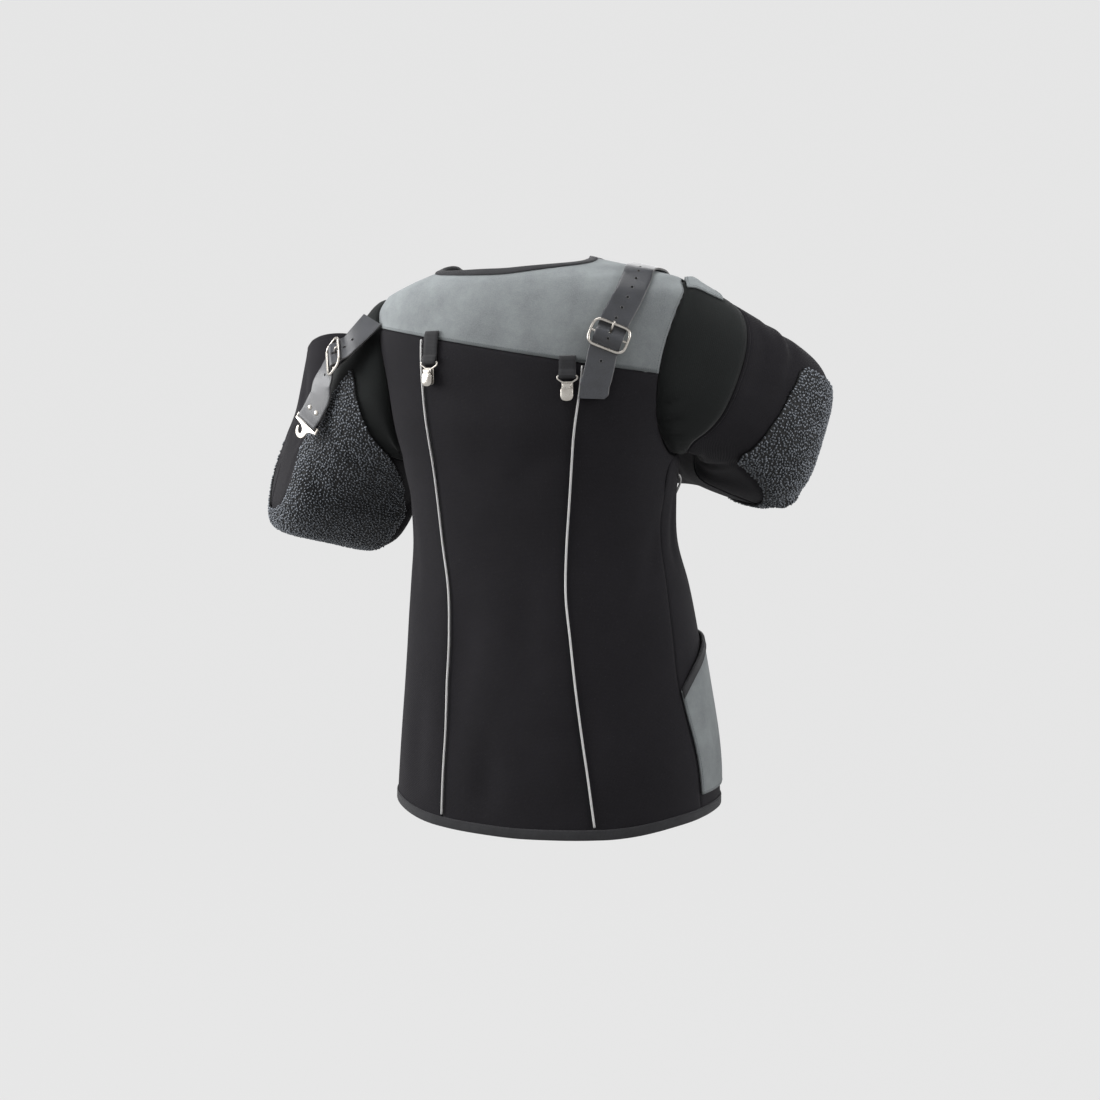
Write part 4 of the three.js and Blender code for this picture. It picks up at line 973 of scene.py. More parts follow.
SKINS = [
    # node, sleeve, lift and thickness in mm, material, slot
    ("elbow_pad_left", "left", 2.9, 2.4, RUBBER_WITH_PAINTED_SHADE, "pebbled_rubber"),
    ("elbow_pad_right", "right", 2.9, 2.4, RUBBER_WITH_PAINTED_SHADE, "pebbled_rubber"),
    ("shoulder_overlap_right", "right", 2.6, 2.0, SUEDE, "suede"),
]
skins = {}
for node, side, lift_mm, thick_mm, material, slot in SKINS:
    bm = merged(node)
    outer = max(smooth_groups(bm, 50), key=total_area)
    keep = set(outer)
    bmesh.ops.delete(bm, geom=[f for f in bm.faces if f not in keep], context="FACES")
    for _ in range(SPLITS):
        long_edges = [e for e in bm.edges if e.calc_length() > PAD_STEP]
        if not long_edges:
            break
        bmesh.ops.subdivide_edges(bm, edges=long_edges, cuts=1, use_grid_fill=True)
        bmesh.ops.triangulate(bm, faces=bm.faces[:])
    bmesh.ops.dissolve_degenerate(bm, dist=0.2 * MM, edges=bm.edges[:])
    bm.verts.index_update()
    flat = np.array([v.co for v in bm.verts])
    for v, spot in zip(bm.verts, set_on_sleeve(flat, side, lift_mm)):
        v.co = spot
    bmesh.ops.smooth_vert(bm, verts=[v for v in bm.verts if not v.is_boundary], factor=0.5)
    if "overlap" in node:
        reach_yoke(bm)
    area = total_area(bm.faces)
    rim = edge_line(bm, 3.0)
    mesh = bpy.data.meshes.new(node + "_skin")
    bm.to_mesh(mesh)
    bm.free()
    mesh.materials.append(material)
    mesh.shade_smooth()
    obj = linked(mesh.name, mesh)
    make_thick(obj, thick_mm)
    declare(obj, slot, node)
    skins[node] = {"object": obj, "area": area, "rim": rim}
    print(obj.name, len(mesh.polygons), "faces,", round(area * 1e4), "square cm")

# %% [markdown]
# ### Pebbles
# The grip is thousands of irregular pebbles some 3 mm across. They could be bump only, but the pad's outline
# shows them, so they are real. Geometry Nodes scatters them: points that keep their distance from each other
# (Poisson disk) each get a small blunt cone with a few faces, turned and stretched at random with a fixed
# seed.


# %% Pebble tree
def new_geometry_tree(name, *sizes):
    """A node tree from a mesh to a mesh, with named sizes and a finish, and the values that it is given."""
    tree = bpy.data.node_groups.new(name, "GeometryNodeTree")
    kinds = [("Geometry", "Geometry"), *((size, "Float") for size in sizes), ("Finish", "Material")]
    for socket, kind in kinds:
        tree.interface.new_socket(socket, in_out="INPUT", socket_type="NodeSocket" + kind)
    tree.interface.new_socket("Geometry", in_out="OUTPUT", socket_type="NodeSocketGeometry")
    return tree, add_node(tree, "NodeGroupInput").outputs


def copies_on_points(tree, given, points, copy, rotation, scale):
    """The end of a tree: real copies of a small mesh on points, in the given finish."""
    placed = add_node(tree, "GeometryNodeInstanceOnPoints", {
        "Points": points, "Instance": copy, "Rotation": rotation, "Scale": scale,
    })
    real = add_node(tree, "GeometryNodeRealizeInstances", {0: placed.outputs[0]})
    finish = {"Geometry": real.outputs[0], "Material": given["Finish"]}
    done = add_node(tree, "GeometryNodeSetMaterial", finish)
    add_node(tree, "NodeGroupOutput", {0: done.outputs[0]})
    return tree


def pebble_tree():
    tree, given = new_geometry_tree("scatter_pebbles", "Spacing", "Width", "Height")
    spots = add_node(tree, "GeometryNodeDistributePointsOnFaces", {
        "Mesh": given["Geometry"], "Distance Min": given["Spacing"], "Density Max": 250000.0, "Seed": 5,
    }, distribute_method="POISSON")
    pebble = add_node(tree, "GeometryNodeMeshCone", {
        "Vertices": 7, "Radius Top": 0.62, "Radius Bottom": 1.0, "Depth": 1.0,
    })
    turn = add_node(tree, "FunctionNodeRandomValue", {2: 0.0, 3: 2 * math.pi, "Seed": 2}, data_type="FLOAT")
    spin = add_node(tree, "ShaderNodeCombineXYZ", {"Z": turn.outputs[1]})
    spin = add_node(tree, "FunctionNodeEulerToRotation", {0: spin.outputs[0]})
    turned = add_node(tree, "FunctionNodeRotateRotation", {
        "Rotation": spots.outputs["Rotation"], "Rotate By": spin.outputs[0],
    }, rotation_space="LOCAL")
    uneven = add_node(tree, "FunctionNodeRandomValue", {
        0: (0.85, 0.6, 0.75), 1: (1.5, 1.0, 1.15), "Seed": 3,
    }, data_type="FLOAT_VECTOR")
    size = add_node(tree, "ShaderNodeCombineXYZ", {
        "X": given["Width"], "Y": given["Width"], "Z": given["Height"],
    })
    sizes = {0: size.outputs[0], 1: uneven.outputs[0]}
    scale = add_node(tree, "ShaderNodeVectorMath", sizes, operation="MULTIPLY")
    return copies_on_points(
        tree, given, spots.outputs["Points"], pebble.outputs["Mesh"], turned.outputs[0], scale.outputs[0]
    )


def run_tree(name, mesh, tree, values):
    """Runs a node tree on a mesh, and gives the result as a new object with a plain mesh."""
    carrier = linked(name + "_carrier", mesh)
    modifier = carrier.modifiers.new("nodes", "NODES")
    modifier.node_group = tree
    for item in tree.interface.items_tree:
        if item.in_out == "INPUT" and item.name in values:
            modifier[item.identifier] = values[item.name]
    ready = carrier.evaluated_get(bpy.context.evaluated_depsgraph_get())
    made = bpy.data.meshes.new_from_object(ready)
    made.name = name
    bpy.data.objects.remove(carrier)
    made.shade_smooth()
    print(f"{name}: {len(made.polygons)} faces")
    return linked(name, made)


# %% Pebbles on both pads
PEBBLES = pebble_tree()
# The pebbles are painted pale as their highlight, the pad under them near black as painted shade.
for side in ("left", "right"):
    grip = run_tree(f"elbow_pad_{side}_pebbles", skins["elbow_pad_" + side]["object"].data.copy(), PEBBLES, {
        "Spacing": 3.0 * MM, "Width": 1.6 * MM, "Height": 1.7 * MM, "Finish": PEBBLE_PAINTED_HIGHLIGHT,
    })
    declare(grip, "pebbled_rubber")
    skins["elbow_pad_" + side]["grip"] = grip

# For each skin, the names of the sleeve cloth under it are found; nothing more is done with them here.
for node, skin in skins.items():
    sleeve = "sleeve_left" if "left" in node else "sleeve_right"
    parts = ("cap",) if "overlap" in node else ("upper", "fore")
    under = [f"{sleeve}_{part}_cloth" for part in parts]

# %% [markdown]
# ## Tapes folded over the edges
# A binding tape is folded over the raw edge and sewn down on both sides. Its U-shaped section is swept along
# the panels' own border points, so it follows every fold of the cloth that it holds.


# %% Sweeping a section
def swept(name, spots, across, up, section, materials, closed=False, face_material=None):
    """Sweeps a closed section, as (across, up) in mm at each spot, with capped ends."""
    spots, across, up = (np.asarray(a, float) for a in (spots, across, up))
    section = np.asarray(section, float)
    if section.ndim == 2:
        section = np.repeat(section[None], len(spots), axis=0)
    net = spots[:, None] + (across[:, None] * section[..., :1] + up[:, None] * section[..., 1:]) * MM
    rows, columns = net.shape[:2]
    ring = np.concatenate([net, net[:1]]) if closed else net
    faces = net_faces(len(ring), columns, True)
    if closed:
        faces = [tuple(i % (rows * columns) for i in f) for f in faces]
    else:
        faces += [tuple(range(columns - 1, -1, -1)), tuple((rows - 1) * columns + i for i in range(columns))]
    obj = new_object(name, net.reshape(-1, 3), faces, materials)
    faces_outward(obj)
    u = lengths(np.concatenate([net, net[:, :1]], axis=1), 1).mean(0)[:columns]
    v = lengths(net, 0).mean(1)
    give_uv(obj.data, np.stack(np.meshgrid(u, v), axis=-1).reshape(-1, 2))
    if face_material:
        for k, face in enumerate(obj.data.polygons):
            face.material_index = face_material(k, columns, len(obj.data.polygons))
    return obj


TAPE_STEP = 2.4 * MM


def border_chain(nodes, way):
    """The border points of several panels in order round the body, their ways into the cloth and normals."""
    rows = []
    for node in nodes:
        net, normals = cloth[node]["net"], cloth[node]["normals"]
        edge, inner = (0, 2) if way == "low" else (-1, -3)
        for b, n, i in zip(net[edge], normals[edge], net[inner]):
            rows.append((math.atan2(b[0], b[1]), b, i - b, n))
    rows.sort(key=lambda row: row[0])
    kept = [rows[0]]
    for row in rows[1:]:
        if np.linalg.norm(row[1] - kept[-1][1]) > TAPE_STEP:
            kept.append(row)
    spots, into, normals = (np.array([row[k] for row in kept]) for k in (1, 2, 3))
    for _ in range(2):
        for a in (spots, into, normals):
            a[1:-1] = (a[:-2] + 2 * a[1:-1] + a[2:]) / 4
    into = unit(into - normals * np.sum(into * normals, axis=1, keepdims=True))
    return spots, into, unit(normals)


def tape_section(width, over=0.35, thick=1.0, cloth_mm=CLOTH_THICK):
    """A folded tape's section, as mm into the cloth and mm outward."""
    high, low = over + thick, -cloth_mm - over - thick
    outer = [(width, over + 0.15), (width, high - 0.35), (width - 0.5, high), (width * 0.5, high + 0.1),
             (0.6, high)]
    turn = [(-0.9, high - 0.5), (-1.5, -cloth_mm / 2), (-0.9, low + 0.5)]
    under = [(0.6, low), (width * 0.5, low), (width - 0.5, low), (width, low + 0.35),
             (width, -cloth_mm - over)]
    inside = [(0.5, -cloth_mm - over), (-0.35, -cloth_mm / 2), (0.5, over)]
    return outer + turn + under + inside


# %% Hem and neck bindings
stitch_lines = {"dark": [], "grey": []}


def make_binding(name, nodes, way, width):
    spots, into, normals = border_chain(nodes, way)
    obj = swept(name + "_tape", spots, into, normals, tape_section(width), [TAPE])
    declare(obj, "binding", name)
    stitch_lines["dark"].append((spots + into * (width - 1.6) * MM + normals * 1.4 * MM, normals))


HEM_NODES = ["back_centre", "back_side_left", "back_side_right", "front_left", "front_right"]
make_binding("hem_binding", HEM_NODES, "low", 11)
make_binding("neck_binding", ["shoulder_patch_right", "yoke", "shoulder_patch_left"], "high", 9.5)

# %% [markdown]
# ## Stitches
# A lockstitch shows as short raised bars of thread with small gaps. One node tree lays them along any line:
# it resamples the line at the stitch pitch and puts a long, low-poly ball on each point, turned along the
# line.


# %% Stitch tree
def stitch_tree():
    tree, given = new_geometry_tree("lay_stitches", "Pitch", "Length", "Thread")
    line = add_node(tree, "GeometryNodeMeshToCurve", {"Mesh": given["Geometry"]})
    points = add_node(tree, "GeometryNodeResampleCurve", {
        "Curve": line.outputs[0], "Length": given["Pitch"],
    }, mode="LENGTH")
    tangent = add_node(tree, "GeometryNodeInputTangent")
    turned = add_node(tree, "FunctionNodeAlignRotationToVector", {"Vector": tangent.outputs[0]}, axis="Z")
    ball = add_node(tree, "GeometryNodeMeshUVSphere", {"Segments": 6, "Rings": 4, "Radius": 0.5})
    size = add_node(tree, "ShaderNodeCombineXYZ", {
        "X": given["Thread"], "Y": given["Thread"], "Z": given["Length"],
    })
    return copies_on_points(
        tree, given, points.outputs[0], ball.outputs["Mesh"], turned.outputs[0], size.outputs[0]
    )


# %% [markdown]
# ### Where the stitches run
# A line of stitches keeps a fixed distance from a border, so it is found on the net: each column is walked
# from the border until that length of cloth has passed.


# %% Lines beside a border
THREAD_LIFT = 0.12 * MM


def beside_border(net, normals, side, inset_mm, closed=False):
    """Points on a net at a distance from one of its borders, with their normals."""
    if side in ("first", "last"):
        net, normals = net.transpose(1, 0, 2), normals.transpose(1, 0, 2)
    if side in ("high", "last"):
        net, normals = net[::-1], normals[::-1]
    far = lengths(net[:14], 0)
    spots, facing = [], []
    for j in range(net.shape[1]):
        i = int(np.searchsorted(far[:, j], inset_mm * MM)) - 1
        i = min(max(i, 0), len(far) - 2)
        t = (inset_mm * MM - far[i, j]) / max(far[i + 1, j] - far[i, j], 1e-9)
        n = normals[i, j] * (1 - t) + normals[i + 1, j] * t
        spots.append(net[i, j] * (1 - t) + net[i + 1, j] * t + n * THREAD_LIFT)
        facing.append(n)
    if closed:
        spots.append(spots[0])
        facing.append(facing[0])
    return np.array(spots), np.array(facing)


# %% Stitches on the suede, the sleeves and the seams
def stitch_beside(thread, node, border, inset_mm, closed=False):
    """Notes a line of stitches beside one border of a piece of cloth."""
    piece = cloth[node]
    line = beside_border(piece["net"], piece["normals"], border, inset_mm, closed)
    stitch_lines[thread].append(line)


for node in ("yoke", "shoulder_patch_left", "shoulder_patch_right"):
    stitch_beside("grey", node, "low", 3.2)
for border in ("first", "last"):
    stitch_beside("grey", "yoke", border, 3.5)
SLEEVE_STITCHES = [("cap", "high", 3.4), ("upper", "low", 3.4), ("upper", "high", 3.4), ("fore", "high", 9.0),
                   ("fore", "high", 1.8)]
for side in ("left", "right"):
    for part, border, inset in SLEEVE_STITCHES:
        stitch_beside("dark", f"sleeve_{side}_{part}", border, inset, closed=True)

STITCH_SHARE = 0.78  # how much of each pitch its bar of thread fills


def stitches(name, lines, finish, thread_mm, pitch_mm, slot):
    """All stitches of one thread, as one piece."""
    mesh = bpy.data.meshes.new(name)
    spots, edges = [], []
    for line, _ in lines:
        edges += [(len(spots) + i, len(spots) + i + 1) for i in range(len(line) - 1)]
        spots += [tuple(p) for p in line]
    mesh.from_pydata(spots, edges, [])
    obj = run_tree(name, mesh, STITCHES, {
        "Pitch": pitch_mm * MM, "Length": pitch_mm * STITCH_SHARE * MM, "Thread": thread_mm * MM,
        "Finish": finish,
    })
    declare(obj, slot)


STITCHES = stitch_tree()

# %% [markdown]
# ## Piping
# A thin cord in a white tube is sewn into each back seam and runs over each front. On the back it lies on the
# seam itself, so its line is the border of the middle panel. The front ones are read from the frame's own
# cords.


# %% Piping
def round_wire(name, path, radius_mm, materials, sides=12, closed=False):
    """A round wire or cord along a path, with rounded ends."""
    path = np.asarray(path, float)
    if closed:
        tangents = np.roll(path, -1, axis=0) - np.roll(path, 1, axis=0)
    else:
        tangents = np.gradient(path, axis=0)
    tangents = unit(tangents)
    seed = np.eye(3)[int(np.argmin(np.abs(tangents[0])))]
    across = [unit(np.cross(tangents[0], seed))]
    for t in tangents[1:]:
        across.append(unit(across[-1] - t * (across[-1] @ t)))
    across = np.array(across)
    if closed:  # spreads the turn that is left over along the whole ring
        a, t = across[-1] - tangents[0] * (across[-1] @ tangents[0]), tangents[0]
        turn = math.atan2(np.cross(a, across[0]) @ t, a @ across[0])
        for i, t in enumerate(tangents):
            angle = turn * i / len(path)
            across[i] = across[i] * math.cos(angle) + np.cross(t, across[i]) * math.sin(angle)
    up = np.cross(tangents, across)
    radii = np.full(len(path), float(radius_mm))
    if not closed:
        for reach, size in ((0.6, 0.8), (0.35, 0.31)):
            out = reach * radius_mm * MM
            path = np.concatenate([path[:1] - tangents[:1] * out, path, path[-1:] + tangents[-1:] * out])
            radii = np.concatenate([[radius_mm * size], radii, [radius_mm * size]])
            across = np.concatenate([across[:1], across, across[-1:]])
            up = np.concatenate([up[:1], up, up[-1:]])
    angles = np.arange(sides) * 2 * math.pi / sides
    circle = np.stack([np.cos(angles), np.sin(angles)], axis=1)
    section = radii[:, None, None] * circle[None]
    return swept(name, path, across, up, section, materials, closed=closed)


def cord_path(node, sides=5):
    """The middle line of a cord in the frame, from its lowest end, as the middles of its rings."""
    bm = merged(node)
    left = [np.array(v.co) for v in bm.verts]
    bm.free()
    left.sort(key=lambda p: p[2])
    spots, here = [], left[0]
    while len(left) >= sides:
        left.sort(key=lambda p: np.linalg.norm(p - here))
        here = np.mean(left[:sides], axis=0)
        spots.append(here)
        left = left[sides:]
    return np.array(spots)


HEM_CLEAR, YOKE_CLEAR = 13 * MM, 1.5 * MM
PIPE_RADIUS, PIPE_LIFT, PIPE_STEP = 1.3, 2.5 * MM, 5 * MM
UPPER_END = 6  # points left off a front cord's upper end, so that less of it shows from behind
middle_panel = cloth["back_centre"]
borders = [beside_border(middle_panel["net"], middle_panel["normals"], end, 0) for end in ("first", "last")]
for side in ("left", "right"):
    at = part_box("piping_back_" + side)[0].x
    spots, normals = min(borders, key=lambda found: abs(found[0][:, 0].mean() - at))
    far = run_lengths(spots)
    keep = (far > HEM_CLEAR) & (far < far[-1] - YOKE_CLEAR)
    path = (spots + normals * PIPE_LIFT)[keep]
    obj = round_wire("piping_back_" + side + "_cord", path, PIPE_RADIUS, [WHITE_CORD])
    declare(obj, "piping", "piping_back_" + side)

for node in ("piping_front_left", "piping_front_right"):
    path = refined(cord_path(node)[:, None], PIPE_STEP)[:-UPPER_END, 0]
    declare(round_wire(node + "_cord", folded_body(path), PIPE_RADIUS, [WHITE_CORD]), "piping", node)

# %% [markdown]
# ## Placket, buttons and pocket
# The front closes with six buttons on a double placket. The pocket is a suede patch sewn on the right front,
# a little slack, with a tape over its curved mouth.

# %% Placket and pocket
LAID = [
    # node, columns in the frame, material, slot, thread, sewn sides
    ("placket", 2, CANVAS, "canvas", "dark", ("first", "last")),
    ("pocket", 7, SUEDE, "suede", "grey", ("first", "last", "low")),
]
LAID_STEP, LAID_SEAM = 3.5, (0.5, 2.2)
for node, columns, material, slot, thread, sewn in LAID:
    obj, flat_net = make_panel(
        node, columns, material, slot, sewn, LAID_STEP, LAID_SEAM, 0, lambda net: net
    )
    declare_sheet(obj, flat_net)

stitch_lines["grey"].append(skins["shoulder_overlap_right"]["rim"])
for node, columns, material, slot, thread, sewn in LAID:
    for border in sewn:
        stitch_beside(thread, node, border, 3.0)

net, normals = cloth["pocket"]["net"], cloth["pocket"]["normals"]
into = net[-4] - net[-1]
into = unit(into - normals[-1] * np.sum(into * normals[-1], axis=1, keepdims=True))
MOUTH_SECTION = [(10, 0.5), (10, 1.1), (9.5, 1.4), (5, 1.5), (0.5, 1.4), (-0.9, 0.9), (-1.3, -0.9),
                 (-0.9, -2.3), (0.5, -2.6), (2.4, -2.6), (2.4, -2.2), (0.6, -2.2), (-0.3, -1.0), (0.5, 0.3)]
mouth = swept("pocket_binding_tape", net[-1], into, normals[-1], MOUTH_SECTION, [TAPE])
declare(mouth, "binding", "pocket_binding")
stitch_lines["dark"].append((net[-1] + into * 8.6 * MM + normals[-1] * 1.5 * MM, normals[-1]))

# %% [markdown]
# ### Buttons
# A button is turned on a lathe: a raised rim, a dished middle and four holes, with thread through them. Its
# section is turned round its axis, and the holes are cut out with a Boolean.


# %% Buttons
def flat_axes(node):
    """The middle of a flat CAD piece and its own axes: widest, second and thinnest."""
    co = np.array([v.co for v in frame["nodes"][node].data.vertices])
    co = np.unique(np.round(co, 5), axis=0)
    vectors = np.linalg.eigh(np.cov((co - co.mean(0)).T))[1]
    return co.mean(0), [vectors[:, k] for k in (2, 1, 0)]


def lathe(name, profile, centre, axis, materials, sides=40):
    """Turns a closed (radius, height) profile in mm round an axis."""
    axis = Vector(axis).normalized()
    side = axis.orthogonal().normalized()
    third = axis.cross(side)
    spots, faces, n = [], [], len(profile)
    for i in range(sides):
        a = 2 * math.pi * i / sides
        way = side * math.cos(a) + third * math.sin(a)
        spots += [Vector(centre) + (way * r + axis * h) * MM for r, h in profile]
    for i in range(sides):
        for j in range(n):
            k = (j + 1) % n
            faces.append((i * n + j, ((i + 1) % sides) * n + j, ((i + 1) % sides) * n + k, i * n + k))
    obj = new_object(name, spots, faces, materials)
    bm = bmesh.new()
    bm.from_mesh(obj.data)
    bmesh.ops.remove_doubles(bm, verts=bm.verts, dist=0.02 * MM)
    bmesh.ops.dissolve_degenerate(bm, dist=0.02 * MM, edges=bm.edges[:])
    bmesh.ops.recalc_face_normals(bm, faces=bm.faces[:])
    bm.to_mesh(obj.data)
    bm.free()
    obj.data.shade_smooth()
    return obj


def sharpen(obj, degrees):
    """Smooth shading, with edges that turn by more than an angle left sharp."""
    obj.data.shade_smooth()
    obj.data.set_sharp_from_angle(angle=math.radians(degrees))


def cut_with(obj, cutters):
    """Cuts closed meshes out of an object, and leaves it a plain mesh."""
    for cutter in cutters:
        cut = obj.modifiers.new("cut", "BOOLEAN")
        cut.object, cut.operation, cut.solver = cutter, "DIFFERENCE", "MANIFOLD"
    ready = obj.evaluated_get(bpy.context.evaluated_depsgraph_get())
    made = bpy.data.meshes.new_from_object(ready)
    obj.modifiers.clear()
    obj.data = made
    for cutter in cutters:
        bpy.data.objects.remove(cutter)


def pin(name, centre, axis, radius, half, material, sides):
    """A plain closed cylinder, used as a cutter. The wall that it cuts takes its material."""
    profile = [(0, -half), (radius, -half), (radius, half), (0, half)]
    return lathe(name, profile, centre, axis, [material], sides)


BUTTON_PROFILE = [(0, -1.7), (7.6, -1.7), (8.7, -0.9), (8.9, 0.3), (8.3, 1.4), (7.3, 1.7), (6.2, 1.4),
                  (5.4, 0.7), (4.6, 0.45), (0, 0.45)]
HOLE_OFF, BUTTON_HOLE, THREAD_RISE = 1.7, 0.85, 0.75
for i in range(1, 7):
    node = f"button_{i}"
    centre, axes_found = flat_axes(node)
    axis = axes_found[2] if axes_found[2][1] < 0 else -axes_found[2]
    centre = folded_body(centre[None])[0]
    one = lathe(f"{node}_turned", BUTTON_PROFILE, centre, axis, [BUTTON], 36)
    side = Vector(axis).orthogonal().normalized()
    third = Vector(axis).cross(side)
    holes = [Vector(centre) + (side * a + third * b) * HOLE_OFF * MM for a in (-1, 1) for b in (-1, 1)]
    cut_with(one, [pin(f"hole_{k}", spot, axis, BUTTON_HOLE, 6, BUTTON, 12) for k, spot in enumerate(holes)])
    sharpen(one, 38)
    declare(one, "button", node)
    top = Vector(axis) * THREAD_RISE * MM
    for a, b in ((holes[0], holes[1]), (holes[2], holes[3])):
        stitch_lines["dark"].append(([a + top, (a + b) / 2 + top * 1.4, b + top], None))
print("turned", i, "buttons")

# %% [markdown]
# ## Straps
# The shoulder strap is one thick leather strip. It lies over the shoulder, runs through the buckle over its
# middle bar and ends free. Its two top edges are read from the frame. A section with rounded corners is swept
# along them, the holes are cut through it, and the raw cut sides get their own pale finish.


# %% Strap helpers
STRAP_THICK = 3.0
STRAP_SECTION = [(-1, -2.3), (-1, -0.75), (-0.975, -0.3), (-0.92, -0.06), (-0.8, 0), (-0.4, 0.08), (0, 0.1),
                 (0.4, 0.08), (0.8, 0), (0.92, -0.06), (0.975, -0.3), (1, -0.75), (1, -2.3), (0.97, -2.75),
                 (0.9, -3), (0.45, -3), (0, -3), (-0.45, -3), (-0.9, -3), (-0.97, -2.75)]
RAW_SIDES = (0, 1, 11, 12, len(STRAP_SECTION) - 1)


def evenly(columns, step_mm):
    """Rows of a table resampled at an even step. The first three columns are a place in metres."""
    columns = np.asarray(columns, float)
    fine = refined(columns[:, None], step_mm / 5 * MM)[:, 0]
    far = run_lengths(fine[:, :3])
    at = np.linspace(0, far[-1], max(2, round(far[-1] / (step_mm * MM))) + 1)
    return np.stack([np.interp(at, far, fine[:, k]) for k in range(columns.shape[1])], axis=1)


def leather_strap(name, tops, ups, left_mm, right_mm, thick_mm):
    """A leather strip under a line of places on its face, with half widths and a thickness at each."""
    ways = unit(np.gradient(tops, axis=0))
    sides = unit(np.cross(ways, ups))
    ups = unit(np.cross(sides, ways))
    section = np.array([[(x * (a if x < 0 else b), y * t / STRAP_THICK) for x, y in STRAP_SECTION]
                        for a, b, t in zip(left_mm, right_mm, thick_mm)])

    def cut_side(k, columns, count):
        return 1 if k % columns in RAW_SIDES or k >= count - 2 else 0

    return swept(name, tops, sides, ups, section, [LEATHER, RAW_EDGE], face_material=cut_side)


def length_near(points, spot):
    """The length along a line of points up to the one nearest to a spot."""
    far = run_lengths(points)
    return float(far[nearest_to(points, np.asarray(spot))])


def at_length(points, values, length):
    """The place on a line of points, and the value there, at a length along it."""
    far = run_lengths(points)
    spot = np.array([np.interp(length, far, points[:, k]) for k in range(3)])
    return spot, unit([np.interp(length, far, values[:, k]) for k in range(3)])


def join_pieces(name, pieces):
    """Several meshes as one, with their materials kept."""
    bm, materials = bmesh.new(), []
    for piece in pieces:
        slots = list(piece.data.materials)
        materials += [one for one in slots if one not in materials]
        start = len(bm.faces)
        bm.from_mesh(piece.data)
        bm.faces.ensure_lookup_table()
        for face in bm.faces[start:]:
            face.material_index = materials.index(slots[min(face.material_index, len(slots) - 1)])
        bpy.data.objects.remove(piece)
    obj = new_object(name, [], [], materials)
    bm.to_mesh(obj.data)
    bm.free()
    return obj


HOLE_RADIUS, HOLE_STEP = 1.6, 14.2
BAR_TO_HOLE, BAR_TO_TIP = 4.3, 24.1  # from the buckle's bar to the next hole on either side of it
LIP_PROFILE = [(HOLE_RADIUS - 0.05, -0.4), (HOLE_RADIUS + 0.5, -0.4), (HOLE_RADIUS + 0.42, 0.12),
               (HOLE_RADIUS + 0.22, 0.2), (HOLE_RADIUS, 0.1)]


def punch(strap, name, tops, ups, spots_mm):
    """Punches holes at lengths along a strap, their walls painted near black as shade, and gives each a rubbed
    lip. The lips are one piece.
    """
    rims, cutters = [], []
    for k, length in enumerate(spots_mm):
        spot, up = at_length(tops, ups, length * MM)
        # Each hole's wall takes the near-black rubber: painted shade inside the hole.
        cutters.append(pin(f"punch_{k}", spot, up, HOLE_RADIUS, 7, RUBBER_WITH_PAINTED_SHADE, 16))
        rims.append(lathe(f"rim_{k}", LIP_PROFILE, spot, up, [RAW_EDGE], 20))
    cut_with(strap, cutters)
    sharpen(strap, 50)
    declare(join_pieces(name, rims), "strap_leather")


class Axes:
    """A metal fitting's axes: x across the strap, y along it and z off its face, in mm from a place."""

    def __init__(self, at, along, face):
        self.at, self.n = Vector(at), Vector(face).normalized()
        self.t = (Vector(along) - self.n * Vector(along).dot(self.n)).normalized()
        self.s = self.t.cross(self.n)

    def put(self, x, y, z):
        return self.at + (self.s * x + self.t * y + self.n * z) * MM


UNDER_BAR, WIRE, LAID_GAP, BUMP = 1.4, 1.8, 0.3, 13
BAR_HEIGHT = UNDER_BAR + STRAP_THICK + LAID_GAP + WIRE


def buckle_axes(node, along, face):
    """A buckle's axes, from its frame's middle. They start on the cloth below its middle bar."""
    middle, (_, second, thinnest) = flat_axes(node)
    n = thinnest if thinnest @ np.array(face) > 0 else -thinnest
    t = second if second @ np.array(along) > 0 else -second
    return Axes(middle - n * BAR_HEIGHT * MM, t, n)


JOINTS = {joint["name"]: joint for joint in frame["joints"]}
SHOULDER = buckle_axes("shoulder_buckle_frame", (0.1, 0.3, -1), (-0.3, 0.9, 0.2))
SLING = buckle_axes("sling_buckle_frame", (0.69, -0.42, -0.59), (0.62, 0.74, 0.26))
HOOK = Axes(JOINTS["sling_hook_swing"]["pos_m"], (0.545, -0.152, -0.824), (0.259, 0.966, 0))
print("buckles at", [round(c * 1000) for c in SHOULDER.at], [round(c * 1000) for c in SLING.at])

# %% Shoulder strap
# The strap's face is the large group of faces that looks outward. Its border turns most at four corners, and
# the two longest runs between them are its edges. One edge gives the strap's length, the other only the way
# across it.
SAME_POINT = 0.8 * MM
bm = merged("shoulder_strap")
groups = sorted(smooth_groups(bm, 60), key=total_area, reverse=True)
top = max(groups[:2], key=lambda group: looks_outward(group, Vector((0, 0, -0.2))))
loop = []
for v in border_loops(top)[0]:
    if not loop or np.linalg.norm(np.array(v.co) - loop[-1]) > SAME_POINT:
        loop.append(np.array(v.co))
bm.free()
n = len(loop)
turns = []
for i in range(n):
    a, b = unit(loop[i] - loop[i - 1]), unit(loop[(i + 1) % n] - loop[i])
    turns.append(math.acos(np.clip(a @ b, -1, 1)))
corners = sorted(sorted(range(n), key=lambda i: -turns[i])[:4])
runs = [[loop[i % n] for i in range(a, b + 1)] for a, b in zip(corners, corners[1:] + [corners[0] + n])]
rails = [np.array(r if r[0][1] < r[-1][1] else r[::-1]) for r in sorted(runs, key=len)[-2:]]
rails = sorted(rails, key=lambda r: r[0][0])
cut_rail, whole_rail = (evenly(r, 1.0) for r in rails)
across = np.array([cut_rail[nearest_to(cut_rail, p)] - p for p in whole_rail])
TAIL_ROWS = 14  # the strap's end, where the rails turn in, keeps the way across it that it had before
across[-TAIL_ROWS:] = across[-TAIL_ROWS - 1]
for _ in range(4):
    across[1:-1] = (across[:-2] + across[1:-1] + across[2:]) / 3
across = unit(across)
STRAP_HALF, STRAP_STEP = 17.0, 2.2
